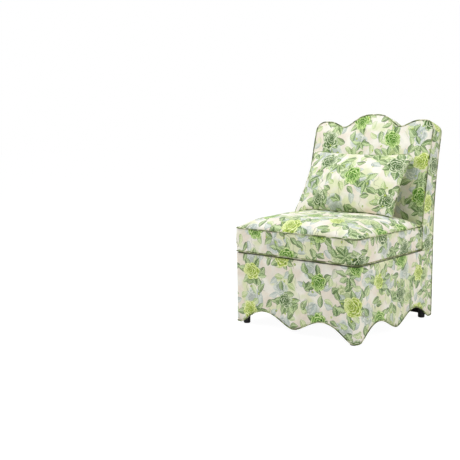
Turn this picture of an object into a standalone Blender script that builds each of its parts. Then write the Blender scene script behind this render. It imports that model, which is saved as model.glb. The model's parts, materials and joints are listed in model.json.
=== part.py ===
"""Accent chair: scalloped and skirted base, reclined back, lift-off seat, loose pillow.

Run with: blender --background --python part.py
Metres, +Z up. The front of the chair faces -Y.
"""
import math

import bmesh
import bpy
import numpy as np
from mathutils import Matrix

# Whole chair
chair_width = 0.620
base_depth = 0.636
base_height = 0.318

# Cloth, piping and clearances
cloth_thickness = 0.0015
piping_radius = 0.0025
fit_gap = 0.0003
curve_gap = 0.0008
cut_overrun = 0.003
weld_distance = 0.00001
rim_reach_share = 0.3

# Scalloped hem of the base
hem_corner_height = 0.012
hem_arch_height = 0.0755
hem_centre_height = 0.022
hem_arch_place_share = 0.484
hem_corner_place_share = 0.92
hem_centre_fullness_share = 0.85
hem_corner_fullness_share = 0.70
base_corner_radius = 0.010
rear_hem_height = 0.013

# Back
back_depth = 0.103
crest_hump_height = 0.922
crest_valley_height = 0.866
crest_ear_height = 0.893
crest_shoulder_share = 0.5376344
crest_valley_place = 0.150
crest_ear_place = 0.262
crest_fullness_share = 1.6
crest_rear_drop = 0.020
recline_rise = 0.460
front_recline = 0.092
rear_recline = 0.070
front_recline_share = 1.45
rear_recline_share = 1.74
back_crown = 0.012
back_crown_start_share = 0.35
back_edge_share = 2.6
back_fullness_share = 0.75

# Seat
seat_edge_height = 0.429
seat_crown = 0.053
seat_edge_share = 4.5
seat_fullness_share = 0.60
seat_side_overhang = 0.004
seat_front_overhang = 0.0055
seat_corner_radius = 0.020
seat_rear_corner_radius = 0.006
seat_band_bulge = 0.0015
seat_stand = 0.004
seat_board_thickness = 0.015
seat_batten_width = 0.018
seat_batten_height = 0.018
seat_batten_play = 0.002
seat_lining_thickness = 0.001

# Pillow
pillow_width = 0.525
pillow_height = 0.312
pillow_loft = 0.130
pillow_side_draw = 0.008
pillow_end_draw = 0.009
pillow_edge_share = 2.0
pillow_fullness_share = 0.60
pillow_side_offset = -0.015
pillow_lean_degrees = 32.0
pillow_roll_degrees = 1.4
pillow_ground_gap = 0.0004

# Frame of the base
side_board_thickness = 0.015
front_board_thickness = 0.012
rear_board_thickness = 0.009
rear_board_height = 0.330
bottom_board_thickness = 0.009
dust_cover_thickness = 0.001
cleat_width = 0.020
cleat_height = 0.025
rear_rail_thickness = 0.025
rear_rail_height = 0.040
corner_block_width = 0.040

# Frame of the back
stile_depth = 0.042
top_rail_depth = 0.036
top_rail_height = 0.0795
top_rail_padding = 0.0045
back_rail_thickness = 0.022
back_rail_height = 0.060
lower_rail_rise = 0.052
middle_rail_height = 0.620
dowel_radius = 0.005
dowel_reach = 0.034
dowel_chamfer = 0.001
web_count = 4
web_height = 0.050
web_thickness = 0.0015
web_end_inset = 0.009
first_web_height = 0.470
last_web_drop = 0.055
backer_thickness = 0.003
backer_top_drop = 0.020
backer_edge_inset = 0.006

# Feet and their screws
foot_height = 0.045
foot_radius = 0.016
foot_taper = 0.001
foot_edge_round = 0.002
foot_board_gap = 0.001
screw_shank_radius = 0.0025
screw_head_radius = 0.005
screw_head_height = 0.003
screw_recess_depth = 0.018
screw_end_cover = 0.005
recess_clearance = 0.001

# Counts of steps along curves
hem_steps = 5
base_corner_steps = 3
hump_steps = 7
ear_steps = 5
shoulder_steps = 4
side_steps = 5
back_rows = 8
outside_back_rows = 10
band_rows = 2
seat_corner_steps = 3
seat_middle_steps = 10
seat_band_rows = 3
pillow_columns = 14
pillow_rows = 10
hole_steps = 12
foot_steps = 16
settle_rounds = 12

# Places that several pieces share
half_width = chair_width / 2
half_depth = base_depth / 2
top_rail_bottom_height = (crest_valley_height + crest_ear_height) / 2 - top_rail_height
ear_over_rail = crest_ear_height - top_rail_bottom_height
crest_shoulder_height = top_rail_bottom_height + ear_over_rail * crest_shoulder_share
last_web_height = top_rail_bottom_height - last_web_drop
backer_top_height = min(crest_valley_height, crest_shoulder_height) - backer_top_drop
lower_rail_height = base_height + lower_rail_rise
back_front_face = half_depth - back_depth
seam_inset = piping_radius + fit_gap
crowned_inset = seam_inset + cloth_thickness * rim_reach_share
skin_inset = cloth_thickness / 2 + fit_gap
side_board_outer = half_width - skin_inset
side_board_inner = side_board_outer - side_board_thickness
front_board_outer = -half_depth + skin_inset
front_board_inner = front_board_outer + front_board_thickness
rear_board_outer = half_depth - skin_inset
rear_board_inner = rear_board_outer - rear_board_thickness
dust_cover_bottom = hem_arch_height + seam_inset
bottom_board_bottom = dust_cover_bottom + dust_cover_thickness + fit_gap
corner_block_bottom = foot_height + fit_gap
corner_block_top = dust_cover_bottom - fit_gap
foot_place_x = side_board_inner - foot_board_gap - foot_radius
foot_place_front = front_board_inner + foot_board_gap + foot_radius
foot_place_rear = rear_board_inner - foot_board_gap - foot_radius
cleat_top = base_height + seat_stand
seat_rear = back_front_face - 2 * piping_radius - curve_gap
seat_front = -half_depth - seat_front_overhang
seat_half_width = half_width + seat_side_overhang
seat_lining_bottom = cleat_top + fit_gap
seat_board_bottom = seat_lining_bottom + seat_lining_thickness + fit_gap
seat_board_top = seat_board_bottom + seat_board_thickness
seat_lower_piping = seat_board_bottom + piping_radius
stile_rear_inset = cloth_thickness / 2 + 2 * curve_gap + backer_thickness
rear_rail_rear = back_front_face - cloth_thickness / 2 - fit_gap
rear_rail_front = rear_rail_rear - rear_rail_thickness


# Shapes of the back
def rise_share(height):
    """Share of the recline's height reached, from the seat's edge upwards."""
    return np.clip((height - seat_edge_height) / recline_rise, 0, None)


def back_front(height):
    """Depth of the inside back's edge at a height."""
    return back_front_face + front_recline * rise_share(height) ** front_recline_share


def back_rear(height):
    """Depth of the outside back at a height."""
    return half_depth + rear_recline * rise_share(height) ** rear_recline_share


def middle_shift():
    """Shift that puts the origin under the middle of the chair's whole depth."""
    front = seat_front - piping_radius
    rear = back_rear(crest_hump_height - crest_rear_drop) + piping_radius
    return -(front + rear) / 2


def crest_blend(share):
    """One at the top of a hump, falling to zero at the valley."""
    return (1 + np.cos(math.pi * np.clip(share, 0, 1) ** crest_fullness_share)) / 2


def crest_height(place):
    """Height of the scalloped top above a place across the chair."""
    out = np.abs(place)
    hump = crest_blend(out / crest_valley_place)
    ear = crest_blend((crest_ear_place - out) / (crest_ear_place - crest_valley_place))
    turn = np.clip((out - crest_ear_place) / (half_width - crest_ear_place), 0, 1)
    shoulder = np.sqrt(1 - turn ** 2)
    return np.select(
        [out <= crest_valley_place, out <= crest_ear_place],
        [
            crest_valley_height + (crest_hump_height - crest_valley_height) * hump,
            crest_valley_height + (crest_ear_height - crest_valley_height) * ear,
        ],
        crest_shoulder_height + (crest_ear_height - crest_shoulder_height) * shoulder,
    )


def crest_places():
    """Places across the chair where the scalloped top is drawn, left to right."""
    hump = np.linspace(0, crest_valley_place, hump_steps + 1)
    ear = np.linspace(crest_valley_place, crest_ear_place, ear_steps + 1)[1:]
    turn = np.sin(np.linspace(0, math.pi / 2, shoulder_steps + 1)[1:])
    shoulder = crest_ear_place + (half_width - crest_ear_place) * turn
    right = np.concatenate([hump, ear, shoulder])
    return np.concatenate([-right[:0:-1], right])


def back_outline(bottom):
    """Front outline of the back, up the left side, over the top, down the right."""
    across = crest_places()
    crest = np.column_stack([across, crest_height(across)])
    side = np.linspace(bottom, crest_shoulder_height, side_steps + 1)[:-1]
    left = np.column_stack([np.full(side_steps, -half_width), side])
    right = np.column_stack([np.full(side_steps, half_width), side[::-1]])
    return np.concatenate([left, crest, right])


def crest_drop(height):
    """How far the rear outline lies below the front one at a height."""
    share = (height - base_height) / (crest_shoulder_height - base_height)
    return crest_rear_drop * np.clip(share, 0, 1)


def rear_outline(bottom):
    """Rear outline of the back: the front one, lowered towards the top."""
    line = back_outline(bottom)
    line[:, 1] -= crest_drop(line[:, 1])
    return line


def inset_line(line, distance):
    """An outline moved in by a distance, square to itself."""
    along = np.gradient(line, axis=0)
    along /= np.linalg.norm(along, axis=1)[:, None]
    return line + distance * np.column_stack([along[:, 1], -along[:, 0]])


def pad_profile(share, edge_share, fullness_share):
    """Crown of a stuffed panel across one direction, one in the middle, zero at the edge."""
    edge = 1 - np.abs(np.clip(share, -1, 1)) ** edge_share
    return edge ** fullness_share


def smooth_step(share):
    """Even rise from zero to one."""
    share = np.clip(share, 0, 1)
    return share * share * (3 - 2 * share)


def inside_back_face(place, height):
    """Depth of the crowned inside back panel."""
    reach = (height - seat_edge_height) / (crest_height(place) - seat_edge_height)
    start = smooth_step(reach / back_crown_start_share)
    across = pad_profile(place / half_width, back_edge_share, back_fullness_share)
    upward = pad_profile(reach, back_edge_share, back_fullness_share)
    return back_front(height) - back_crown * across * start * upward


def panel_grid(line, bottom, inset, rows):
    """Columns from a level bottom edge up to the crest of an outline."""
    crest = inset_line(line, inset)[side_steps:-side_steps]
    foot_x = crest[:, 0] / crest[-1, 0] * (half_width - inset)
    low = np.column_stack([foot_x, np.full(len(foot_x), bottom)])
    share = np.linspace(0, 1, rows + 1)[None, :, None]
    return low[:, None, :] + (crest - low)[:, None, :] * share


def inside_back_points():
    """Middle surface of the inside back panel."""
    flat = panel_grid(back_outline(base_height), base_height + fit_gap, crowned_inset, back_rows)
    depth = inside_back_face(flat[..., 0], flat[..., 1])
    return np.stack([flat[..., 0], depth, flat[..., 1]], axis=-1)


def outside_back_points():
    """Middle surface of the outside back panel, from the crest to the hem."""
    bottom = rear_hem_height + seam_inset
    flat = panel_grid(rear_outline(base_height), bottom, seam_inset, outside_back_rows)
    return np.stack([flat[..., 0], back_rear(flat[..., 1]), flat[..., 1]], axis=-1)


def surface_normals(points):
    """Unit normals of a grid of points, from its two directions."""
    across = np.gradient(points, axis=0)
    along = np.gradient(points, axis=1)
    normals = np.cross(across, along)
    return normals / np.linalg.norm(normals, axis=-1)[..., None]


# Shapes of the base
def hem_height(share):
    """Height of the scalloped hem at a share of the half length of a face."""
    out = np.abs(share)
    inner = np.clip(out / hem_arch_place_share, 0, 1) ** hem_centre_fullness_share
    span = hem_corner_place_share - hem_arch_place_share
    outer = np.clip((hem_corner_place_share - out) / span, 0, 1) ** hem_corner_fullness_share
    swing_in = (1 - np.cos(math.pi * inner)) / 2
    swing_out = (1 - np.cos(math.pi * outer)) / 2
    return np.where(
        out <= hem_arch_place_share,
        hem_centre_height + (hem_arch_height - hem_centre_height) * swing_in,
        hem_corner_height + (hem_arch_height - hem_corner_height) * swing_out,
    )


def hem_shares():
    """Shares of the half length where the hem is drawn, from end to end."""
    inner = np.linspace(0, hem_arch_place_share, hem_steps + 1)
    outer = np.linspace(hem_arch_place_share, hem_corner_place_share, hem_steps + 1)[1:]
    half = np.concatenate([inner, outer])
    return np.concatenate([-half[:0:-1], half])


def raised_edge(places, heights, inset):
    """Heights of an edge that stays an even distance inside the hem."""
    slope = np.gradient(heights, places)
    return heights + inset * np.sqrt(1 + slope ** 2)


def base_path():
    """Plan points and hem heights round the base, from the rear left to the rear right."""
    shares = hem_shares()
    rear_end = half_depth - seam_inset
    front_end = half_depth - base_corner_radius
    side_y = np.concatenate([[-front_end], shares * half_depth, [rear_end]])
    side_z = hem_height(side_y / half_depth)
    front_x = np.concatenate([[base_corner_radius - half_width], shares * half_width,
                              [half_width - base_corner_radius]])
    front_z = hem_height(front_x / half_width)
    turn = np.linspace(0, math.pi / 2, base_corner_steps + 1)[1:-1]
    arc_x = half_width - base_corner_radius * (1 - np.cos(turn))
    arc_y = -front_end - base_corner_radius * np.sin(turn)
    arc_z = np.full(len(turn), hem_corner_height)
    left_side = np.column_stack([np.full(len(side_y), -half_width), side_y, side_z])[::-1]
    left_arc = np.column_stack([-arc_x, arc_y, arc_z])
    front = np.column_stack([front_x, np.full(len(front_x), -half_depth), front_z])
    right_arc = np.column_stack([arc_x, arc_y, arc_z])[::-1]
    right_side = np.column_stack([np.full(len(side_y), half_width), side_y, side_z])
    return np.concatenate([left_side, left_arc, front, right_arc, right_side])


def path_length(points):
    """Distance travelled along a path at each of its points."""
    steps = np.linalg.norm(np.diff(points, axis=0), axis=1)
    return np.concatenate([[0], np.cumsum(steps)])


# Shapes of the seat
def seat_height(x, y):
    """Height of the crowned seat above a plan point, level with its piping at the sewn edge."""
    middle = (seat_front + seat_rear) / 2
    reach = (seat_rear - seat_front) / 2 - crowned_inset
    half = seat_half_width - crowned_inset
    across = pad_profile(x / half, seat_edge_share, seat_fullness_share)
    along = pad_profile((y - middle) / reach, seat_edge_share, seat_fullness_share)
    return seat_edge_height + seat_crown * across * along


def grid_stations(corner_steps, middle_steps):
    """Place along the straight part, closer together at its ends, and share of the corner."""
    corner = np.linspace(0, 1, corner_steps + 1)[1:]
    middle = np.sin(math.pi / 2 * np.linspace(-1, 1, middle_steps + 1))
    along = np.concatenate([np.full(corner_steps, -1), middle, np.full(corner_steps, 1)])
    into = np.concatenate([corner[::-1], np.zeros(middle_steps + 1), corner])
    return along, into


def seat_plan(inset):
    """Plan points of the seat on a grid whose corner cells are bent into arcs."""
    along, into = grid_stations(seat_corner_steps, seat_middle_steps)
    column, row = np.meshgrid(along, along, indexing="ij")
    a, b = np.meshgrid(into, into, indexing="ij")
    reach = np.maximum(a, b)
    steep = np.where(reach > 0, np.minimum(a, b) / np.where(reach > 0, reach, 1), 0)
    angle = np.where(a >= b, steep, 2 - steep) * math.pi / 4
    front_radius = seat_corner_radius - inset
    rear_radius = seat_rear_corner_radius - inset
    radius = front_radius + (rear_radius - front_radius) * (row + 1) / 2
    half = seat_half_width - inset
    low = seat_front + inset + front_radius
    high = seat_rear - inset - rear_radius
    x = column * (half - radius) + np.sign(column) * radius * reach * np.cos(angle)
    y = low + (high - low) * (row + 1) / 2 + np.sign(row) * radius * reach * np.sin(angle)
    return x, y


def seat_top_points(inset):
    """Middle surface of the crowned seat top."""
    x, y = seat_plan(inset)
    return np.stack([x, y, seat_height(x, y)], axis=-1)


def grid_border(points):
    """The border of a grid of points as one closed loop, seen from above anticlockwise."""
    return np.concatenate([points[:-1, 0], points[-1, :-1], points[:0:-1, -1], points[0, :0:-1]])


# Shapes of the pillow
def pillow_stations(steps):
    """Grid lines of the pillow, closer together towards its edges."""
    return np.sin(math.pi / 2 * np.linspace(-1, 1, steps + 1))


def pillow_points(inset, side):
    """Middle surface of one face of the pillow, in its own frame; side is -1 for the front."""
    u, v = np.meshgrid(pillow_stations(pillow_columns), pillow_stations(pillow_rows), indexing="ij")
    x = u * (pillow_width / 2 - inset - pillow_side_draw * (1 - v ** 2))
    z = v * (pillow_height / 2 - inset - pillow_end_draw * (1 - u ** 2))
    shape = (1 - np.abs(u) ** pillow_edge_share) * (1 - np.abs(v) ** pillow_edge_share)
    seam = cloth_thickness / 2 + fit_gap
    y = side * (seam + pillow_loft / 2 * shape ** pillow_fullness_share)
    return np.stack([x, y, z], axis=-1)


def pillow_turn():
    """Rotation of the pillow: its top leans back and its left end is the higher."""
    lean = Matrix.Rotation(-math.radians(pillow_lean_degrees), 3, "X")
    roll = Matrix.Rotation(math.radians(pillow_roll_degrees), 3, "Y")
    return lean @ roll


def settled_pillow():
    """Place of the pillow where it just rests on the seat and against the back."""
    faces = [pillow_points(crowned_inset, side).reshape(-1, 3) for side in (-1, 1)]
    edge = grid_border(pillow_points(0, 0))
    seam = np.concatenate([edge + [0, 0, piping_radius], edge - [0, 0, piping_radius],
                           edge + [0, piping_radius, 0], edge - [0, piping_radius, 0]])
    turned = np.concatenate(faces + [seam]) @ np.array(pillow_turn()).T
    clearance = cloth_thickness + pillow_ground_gap
    place = np.array([pillow_side_offset, 0, seat_edge_height + pillow_height])
    for _ in range(settle_rounds):
        point = turned + place
        back = inside_back_face(point[:, 0], point[:, 2]) - clearance - point[:, 1]
        over_back = point[:, 2] < crest_height(point[:, 0])
        place[1] += np.min(back[over_back])
        point = turned + place
        over_seat = point[:, 1] < seat_rear
        place[2] += np.max((seat_height(point[:, 0], point[:, 1]) + clearance - point[:, 2])[over_seat])
    return place


# Making objects
def make_material(name, colour, roughness, metallic=0.0):
    """A plain finish."""
    finish = bpy.data.materials.new(name)
    finish.use_nodes = True
    shader = finish.node_tree.nodes["Principled BSDF"]
    shader.inputs["Base Color"].default_value = (*colour, 1)
    shader.inputs["Roughness"].default_value = roughness
    shader.inputs["Metallic"].default_value = metallic
    return finish


class Workshop:
    """Makes the chair's objects, and keeps them in its collection and under their empties."""

    def __init__(self):
        self.parts = bpy.data.collections.new("accent_chair")
        self.cutters = bpy.data.collections.new("accent_chair_cutters")
        bpy.context.scene.collection.children.link(self.parts)
        bpy.context.scene.collection.children.link(self.cutters)
        self.root = self.add_empty("chair_origin", (0, middle_shift(), 0), None)
        self.holder = self.root

    def add_empty(self, name, place, parent):
        """An empty that carries a group of pieces."""
        empty = bpy.data.objects.new(name, None)
        self.parts.objects.link(empty)
        empty.location = place
        empty.parent = parent
        return empty

    def add(self, name, data, finish, place=(0, 0, 0), turn=(0, 0, 0)):
        """One piece with its finish."""
        piece = bpy.data.objects.new(name, data)
        data.materials.append(finish)
        self.parts.objects.link(piece)
        piece.location = place
        piece.rotation_euler = turn
        piece.parent = self.holder
        return piece

    def add_mesh(self, name, bm, finish, place=(0, 0, 0), turn=(0, 0, 0), smooth=False):
        """A piece from a finished bmesh."""
        data = bpy.data.meshes.new(name)
        bm.to_mesh(data)
        bm.free()
        if smooth:
            data.shade_smooth()
        return self.add(name, data, finish, place, turn)

    def box(self, name, low, high, finish, turn=(0, 0, 0)):
        """A straight block between two corners, turned about its centre."""
        size = [b - a for a, b in zip(low, high)]
        centre = [(a + b) / 2 for a, b in zip(low, high)]
        bm = bmesh.new()
        bmesh.ops.create_cube(bm, size=1)
        bmesh.ops.scale(bm, vec=size, verts=bm.verts)
        return self.add_mesh(name, bm, finish, centre, turn)

    def board(self, name, outline, holes, thickness, finish, place, turn):
        """A flat board cut to an outline, with its holes."""
        data = bpy.data.curves.new(name, "CURVE")
        data.dimensions = "2D"
        data.fill_mode = "BOTH"
        data.extrude = thickness / 2
        for loop in [outline] + holes:
            spline = data.splines.new("POLY")
            spline.points.add(len(loop) - 1)
            for point, (x, y) in zip(spline.points, loop):
                point.co = (x, y, 0, 1)
            spline.use_cyclic_u = True
        return self.add(name, data, finish, place, turn)

    def piping(self, name, path, closed, finish):
        """A round cord along a path."""
        data = bpy.data.curves.new(name, "CURVE")
        data.dimensions = "3D"
        data.bevel_depth = piping_radius
        data.bevel_resolution = 1
        data.use_fill_caps = not closed
        spline = data.splines.new("POLY")
        spline.points.add(len(path) - 1)
        for point, co in zip(spline.points, path):
            point.co = (*co, 1)
        spline.use_cyclic_u = closed
        return self.add(name, data, finish)

    def sheet(self, name, points, finish, joined=False):
        """Cloth on a grid of points, with its thickness shared between both sides."""
        bm = grid_mesh(points)
        if joined:
            bmesh.ops.remove_doubles(bm, verts=bm.verts, dist=fit_gap)
        bmesh.ops.recalc_face_normals(bm, faces=bm.faces)
        piece = self.add_mesh(name, bm, finish, smooth=True)
        wall = piece.modifiers.new("cloth", "SOLIDIFY")
        wall.thickness = cloth_thickness
        wall.offset = 0
        wall.use_even_offset = True
        return piece

    def block(self, name, face, rear, finish, flat_rear=False):
        """Stuffing between two grids of points."""
        bm = bmesh.new()
        columns, rows = face.shape[0] - 1, face.shape[1] - 1
        bmesh.ops.create_grid(bm, x_segments=columns, y_segments=rows, size=1)
        grown = bmesh.ops.extrude_face_region(bm, geom=list(bm.faces), use_keep_orig=True)
        moved = {item for item in grown["geom"] if isinstance(item, bmesh.types.BMVert)}
        rear_faces = [item for item in grown["geom"] if isinstance(item, bmesh.types.BMFace)]
        for vert in bm.verts:
            place_on_grid(vert, rear if vert in moved else face)
        if flat_rear:
            bmesh.ops.dissolve_faces(bm, faces=rear_faces)
        bmesh.ops.recalc_face_normals(bm, faces=bm.faces)
        return self.add_mesh(name, bm, finish, smooth=True)

    def turned(self, name, profile, finish, place, turn=(0, 0, 0), steps=hole_steps, closed=False):
        """A turned piece from a profile of radius and height, outer side downwards."""
        bm = bmesh.new()
        verts = [bm.verts.new((radius, 0, height)) for radius, height in profile]
        ends = zip(verts, verts[1:] + verts[:1] if closed else verts[1:])
        for start, end in ends:
            bm.edges.new((start, end))
        piece = self.add_mesh(name, bm, finish, place, turn, smooth=True)
        lathe = piece.modifiers.new("lathe", "SCREW")
        lathe.axis = "Z"
        lathe.steps = steps
        lathe.render_steps = steps
        lathe.use_merge_vertices = True
        lathe.merge_threshold = weld_distance
        return piece

    def drilled(self, piece, centre, radius, depth):
        """A blind round hole along X in a piece."""
        bm = bmesh.new()
        bmesh.ops.create_cone(bm, cap_ends=True, segments=hole_steps, radius1=radius,
                              radius2=radius, depth=depth)
        data = bpy.data.meshes.new(piece.name + "_drill")
        bm.to_mesh(data)
        bm.free()
        cutter = bpy.data.objects.new(data.name, data)
        self.cutters.objects.link(cutter)
        cutter.location = centre
        cutter.rotation_euler = (0, math.pi / 2, 0)
        cutter.parent = self.root
        cutter.hide_render = True
        cutter.display_type = "WIRE"
        cut = piece.modifiers.new("dowel_hole", "BOOLEAN")
        cut.operation = "DIFFERENCE"
        cut.object = cutter


def place_on_grid(vert, points):
    """Move a vertex of a unit grid to its point."""
    columns, rows = points.shape[0] - 1, points.shape[1] - 1
    i = round((vert.co.x + 1) / 2 * columns)
    j = round((vert.co.y + 1) / 2 * rows)
    vert.co = points[i, j]


def grid_mesh(points):
    """A grid whose vertices are moved to the given points."""
    bm = bmesh.new()
    bmesh.ops.create_grid(bm, x_segments=points.shape[0] - 1, y_segments=points.shape[1] - 1, size=1)
    for vert in bm.verts:
        place_on_grid(vert, points)
    return bm


def circle_points(centre, radius):
    """A round hole as a loop of points."""
    angles = np.linspace(0, 2 * math.pi, hole_steps, endpoint=False)
    return [(centre[0] + radius * math.cos(a), centre[1] + radius * math.sin(a)) for a in angles]


upright_front = (math.pi / 2, 0, 0)
upright_side = (math.pi / 2, 0, math.pi / 2)


# Frame of the base
def stile_front(height):
    """Depth of the front edge of the back's stiles at a height."""
    return back_rear(height) - stile_rear_inset - stile_depth


def back_slope(height):
    """Angle that the stiles lean back at a height."""
    step = back_rail_height / 2
    return math.atan2(stile_front(height + step) - stile_front(height - step), 2 * step)


def crest_frame():
    """Origin at the hump's front edge, with the directions up the back and through it."""
    front = np.array([back_front(crest_hump_height), crest_hump_height])
    low = crest_hump_height - crest_rear_drop
    through = np.array([back_rear(low), low]) - front
    depth = np.linalg.norm(through)
    through /= depth
    upward = np.array([-through[1], through[0]])
    return front, upward, through, depth


def top_rail_reach():
    """Depth of the top rail's front and rear faces behind the hump's front edge."""
    depth = crest_frame()[3]
    rear = depth - stile_rear_inset - curve_gap
    return rear - top_rail_depth, rear


def side_board_outline():
    """Outline of a side board: scalloped foot, level top and the reclined stile of the back."""
    rear_end = rear_board_inner - fit_gap
    front_end = -half_depth + base_corner_radius
    foot_y = np.concatenate([[front_end], hem_shares() * half_depth, [rear_end]])
    foot_z = raised_edge(foot_y, hem_height(foot_y / half_depth), seam_inset)
    front, upward, through, _ = crest_frame()
    seat_line = (top_rail_bottom_height - fit_gap - front[1]) / upward[1]
    start = front + seat_line * upward
    tilt = through[1] / through[0]
    top_z = top_rail_bottom_height
    for _ in range(settle_rounds):
        top_z = start[1] + (stile_front(top_z) - start[0]) * tilt
    rear_top_z = top_z + stile_depth * tilt
    base_top = base_height - fit_gap
    front_z = np.linspace(base_top, top_z, side_steps + 2)
    rear_z = np.linspace(rear_top_z, rear_board_height + fit_gap, side_steps + 2)
    rear_y = back_rear(rear_z) - stile_rear_inset
    outline = list(zip(foot_y, foot_z))
    outline.append((rear_end, rear_board_height + fit_gap))
    outline += list(zip(rear_y, rear_z))[::-1]
    outline += list(zip(stile_front(front_z), front_z))[::-1]
    outline.append((front_end, base_top))
    return outline


def dowel_places():
    """Depth and height of each back rail's centre."""
    heights = (lower_rail_height, middle_rail_height)
    return [(stile_front(height) + stile_depth / 2, height) for height in heights]


def add_side_boards(shop, wood):
    """The two side boards, each with its stile and dowel holes."""
    outline = side_board_outline()
    holes = [circle_points(place, dowel_radius + fit_gap) for place in dowel_places()]
    centre = (side_board_outer + side_board_inner) / 2
    for side, sign in (("left", -1), ("right", 1)):
        shop.board(f"side_board_{side}", outline, holes, side_board_thickness, wood,
                   (sign * centre, 0, 0), upright_side)


def add_front_board(shop, wood):
    """The scalloped front board, between the side boards."""
    end = side_board_inner - fit_gap
    foot_x = np.concatenate([[-end], hem_shares() * half_width, [end]])
    foot_z = raised_edge(foot_x, hem_height(foot_x / half_width), seam_inset)
    top = base_height - fit_gap
    outline = list(zip(foot_x, foot_z)) + [(end, top), (-end, top)]
    centre = (front_board_outer + front_board_inner) / 2
    shop.board("front_board", outline, [], front_board_thickness, wood, (0, centre, 0), upright_front)


def add_rear_board(shop, wood):
    """The plain rear board of the base."""
    end = half_width - seam_inset - fit_gap
    shop.box("rear_board", (-end, rear_board_inner, rear_hem_height + seam_inset),
             (end, rear_board_outer, rear_board_height), wood)


def foot_places():
    """Name and plan place of each foot."""
    return [
        (f"{row}_{side}", (sign * foot_place_x, y))
        for row, y in (("front", foot_place_front), ("rear", foot_place_rear))
        for side, sign in (("left", -1), ("right", 1))
    ]


def add_bottom(shop, wood, black_cloth):
    """The bottom board of the storage well above the arches, and the dust cover under it."""
    end = side_board_inner - fit_gap
    low = front_board_inner + fit_gap
    high = rear_board_inner - fit_gap
    shop.box("bottom_board", (-end, low, bottom_board_bottom),
             (end, high, bottom_board_bottom + bottom_board_thickness), wood)
    shop.box("dust_cover", (-end, low, dust_cover_bottom),
             (end, high, dust_cover_bottom + dust_cover_thickness), black_cloth)


def add_corner_blocks(shop, wood):
    """A block in each corner under the well's floor, which takes the foot's screw."""
    width = corner_block_width
    height = corner_block_top - corner_block_bottom
    middle = (corner_block_top + corner_block_bottom) / 2
    x = side_board_inner - fit_gap - width / 2
    front = front_board_inner + fit_gap + width / 2
    rear = rear_board_inner - fit_gap - width / 2
    for name, place in foot_places():
        centre = (math.copysign(x, place[0]), front if place[1] < 0 else rear)
        half = width / 2
        outline = [(-half, -half), (half, -half), (half, half), (-half, half)]
        offset = (place[0] - centre[0], place[1] - centre[1])
        hole = circle_points(offset, screw_shank_radius + fit_gap)
        shop.board(f"corner_block_{name}", outline, [hole], height, wood, (*centre, middle), (0, 0, 0))


def add_feet(shop, plastic, steel):
    """Four turned feet, each bored for the screw that holds it."""
    bore = screw_shank_radius + fit_gap
    recess = screw_head_radius + recess_clearance
    lower = foot_radius - foot_taper
    foot_profile = [
        (bore, foot_height),
        (foot_radius, foot_height),
        (foot_radius, foot_height - foot_edge_round),
        (lower, foot_edge_round),
        (lower - foot_edge_round, 0),
        (recess, 0),
        (recess, screw_recess_depth),
        (bore, screw_recess_depth),
    ]
    head_top = screw_recess_depth - fit_gap
    screw_top = corner_block_top - screw_end_cover
    screw_profile = [
        (0, screw_top),
        (screw_shank_radius, screw_top - screw_shank_radius),
        (screw_shank_radius, head_top),
        (screw_head_radius, head_top),
        (screw_head_radius, head_top - screw_head_height),
        (0, head_top - screw_head_height),
    ]
    for name, place in foot_places():
        shop.turned(f"foot_{name}", foot_profile, plastic, (*place, 0), steps=foot_steps, closed=True)
        shop.turned(f"foot_screw_{name}", screw_profile, steel, (*place, 0))


def add_seat_bearers(shop, wood):
    """Cleats along the well and the rail at its rear, which carry the seat."""
    inner = side_board_inner - fit_gap
    cleat_bottom = cleat_top - cleat_height
    rear_end = rear_rail_front - fit_gap
    front_cleat = front_board_inner + fit_gap
    for side, sign in (("left", -1), ("right", 1)):
        x = sorted((sign * inner, sign * (inner - cleat_width)))
        shop.box(f"seat_cleat_{side}", (x[0], front_cleat, cleat_bottom), (x[1], rear_end, cleat_top), wood)
    end = inner - cleat_width - fit_gap
    shop.box("seat_cleat_front", (-end, front_cleat, cleat_bottom),
             (end, front_cleat + cleat_width, cleat_top), wood)
    shop.box("seat_rear_rail", (-inner, rear_rail_front, cleat_top - rear_rail_height),
             (inner, rear_rail_rear, cleat_top), wood)


# Frame of the back
def add_back_rails(shop, wood):
    """Lower and middle rails between the stiles, and the dowels that pin them."""
    end = side_board_inner - fit_gap
    hole_end = end - dowel_reach - fit_gap
    for name, (depth, height) in zip(("lower", "middle"), dowel_places()):
        half = (back_rail_thickness / 2, back_rail_height / 2)
        rail = shop.box(f"back_{name}_rail", (-end, depth - half[0], height - half[1]),
                        (end, depth + half[0], height + half[1]), wood, (-back_slope(height), 0, 0))
        dowel_length = side_board_outer - fit_gap - (end - dowel_reach)
        dowel_profile = [
            (0, dowel_length / 2),
            (dowel_radius - dowel_chamfer, dowel_length / 2),
            (dowel_radius, dowel_length / 2 - dowel_chamfer),
            (dowel_radius, dowel_chamfer - dowel_length / 2),
            (dowel_radius - dowel_chamfer, -dowel_length / 2),
            (0, -dowel_length / 2),
        ]
        middle = end - dowel_reach + dowel_length / 2
        cut_length = end + cut_overrun - hole_end
        for side, sign in (("left", -1), ("right", 1)):
            shop.drilled(rail, (sign * (hole_end + cut_length / 2), depth, height),
                         dowel_radius + fit_gap, cut_length)
            shop.turned(f"{name}_rail_dowel_{side}", dowel_profile, wood,
                        (sign * middle, depth, height), (0, math.pi / 2, 0))


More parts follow.
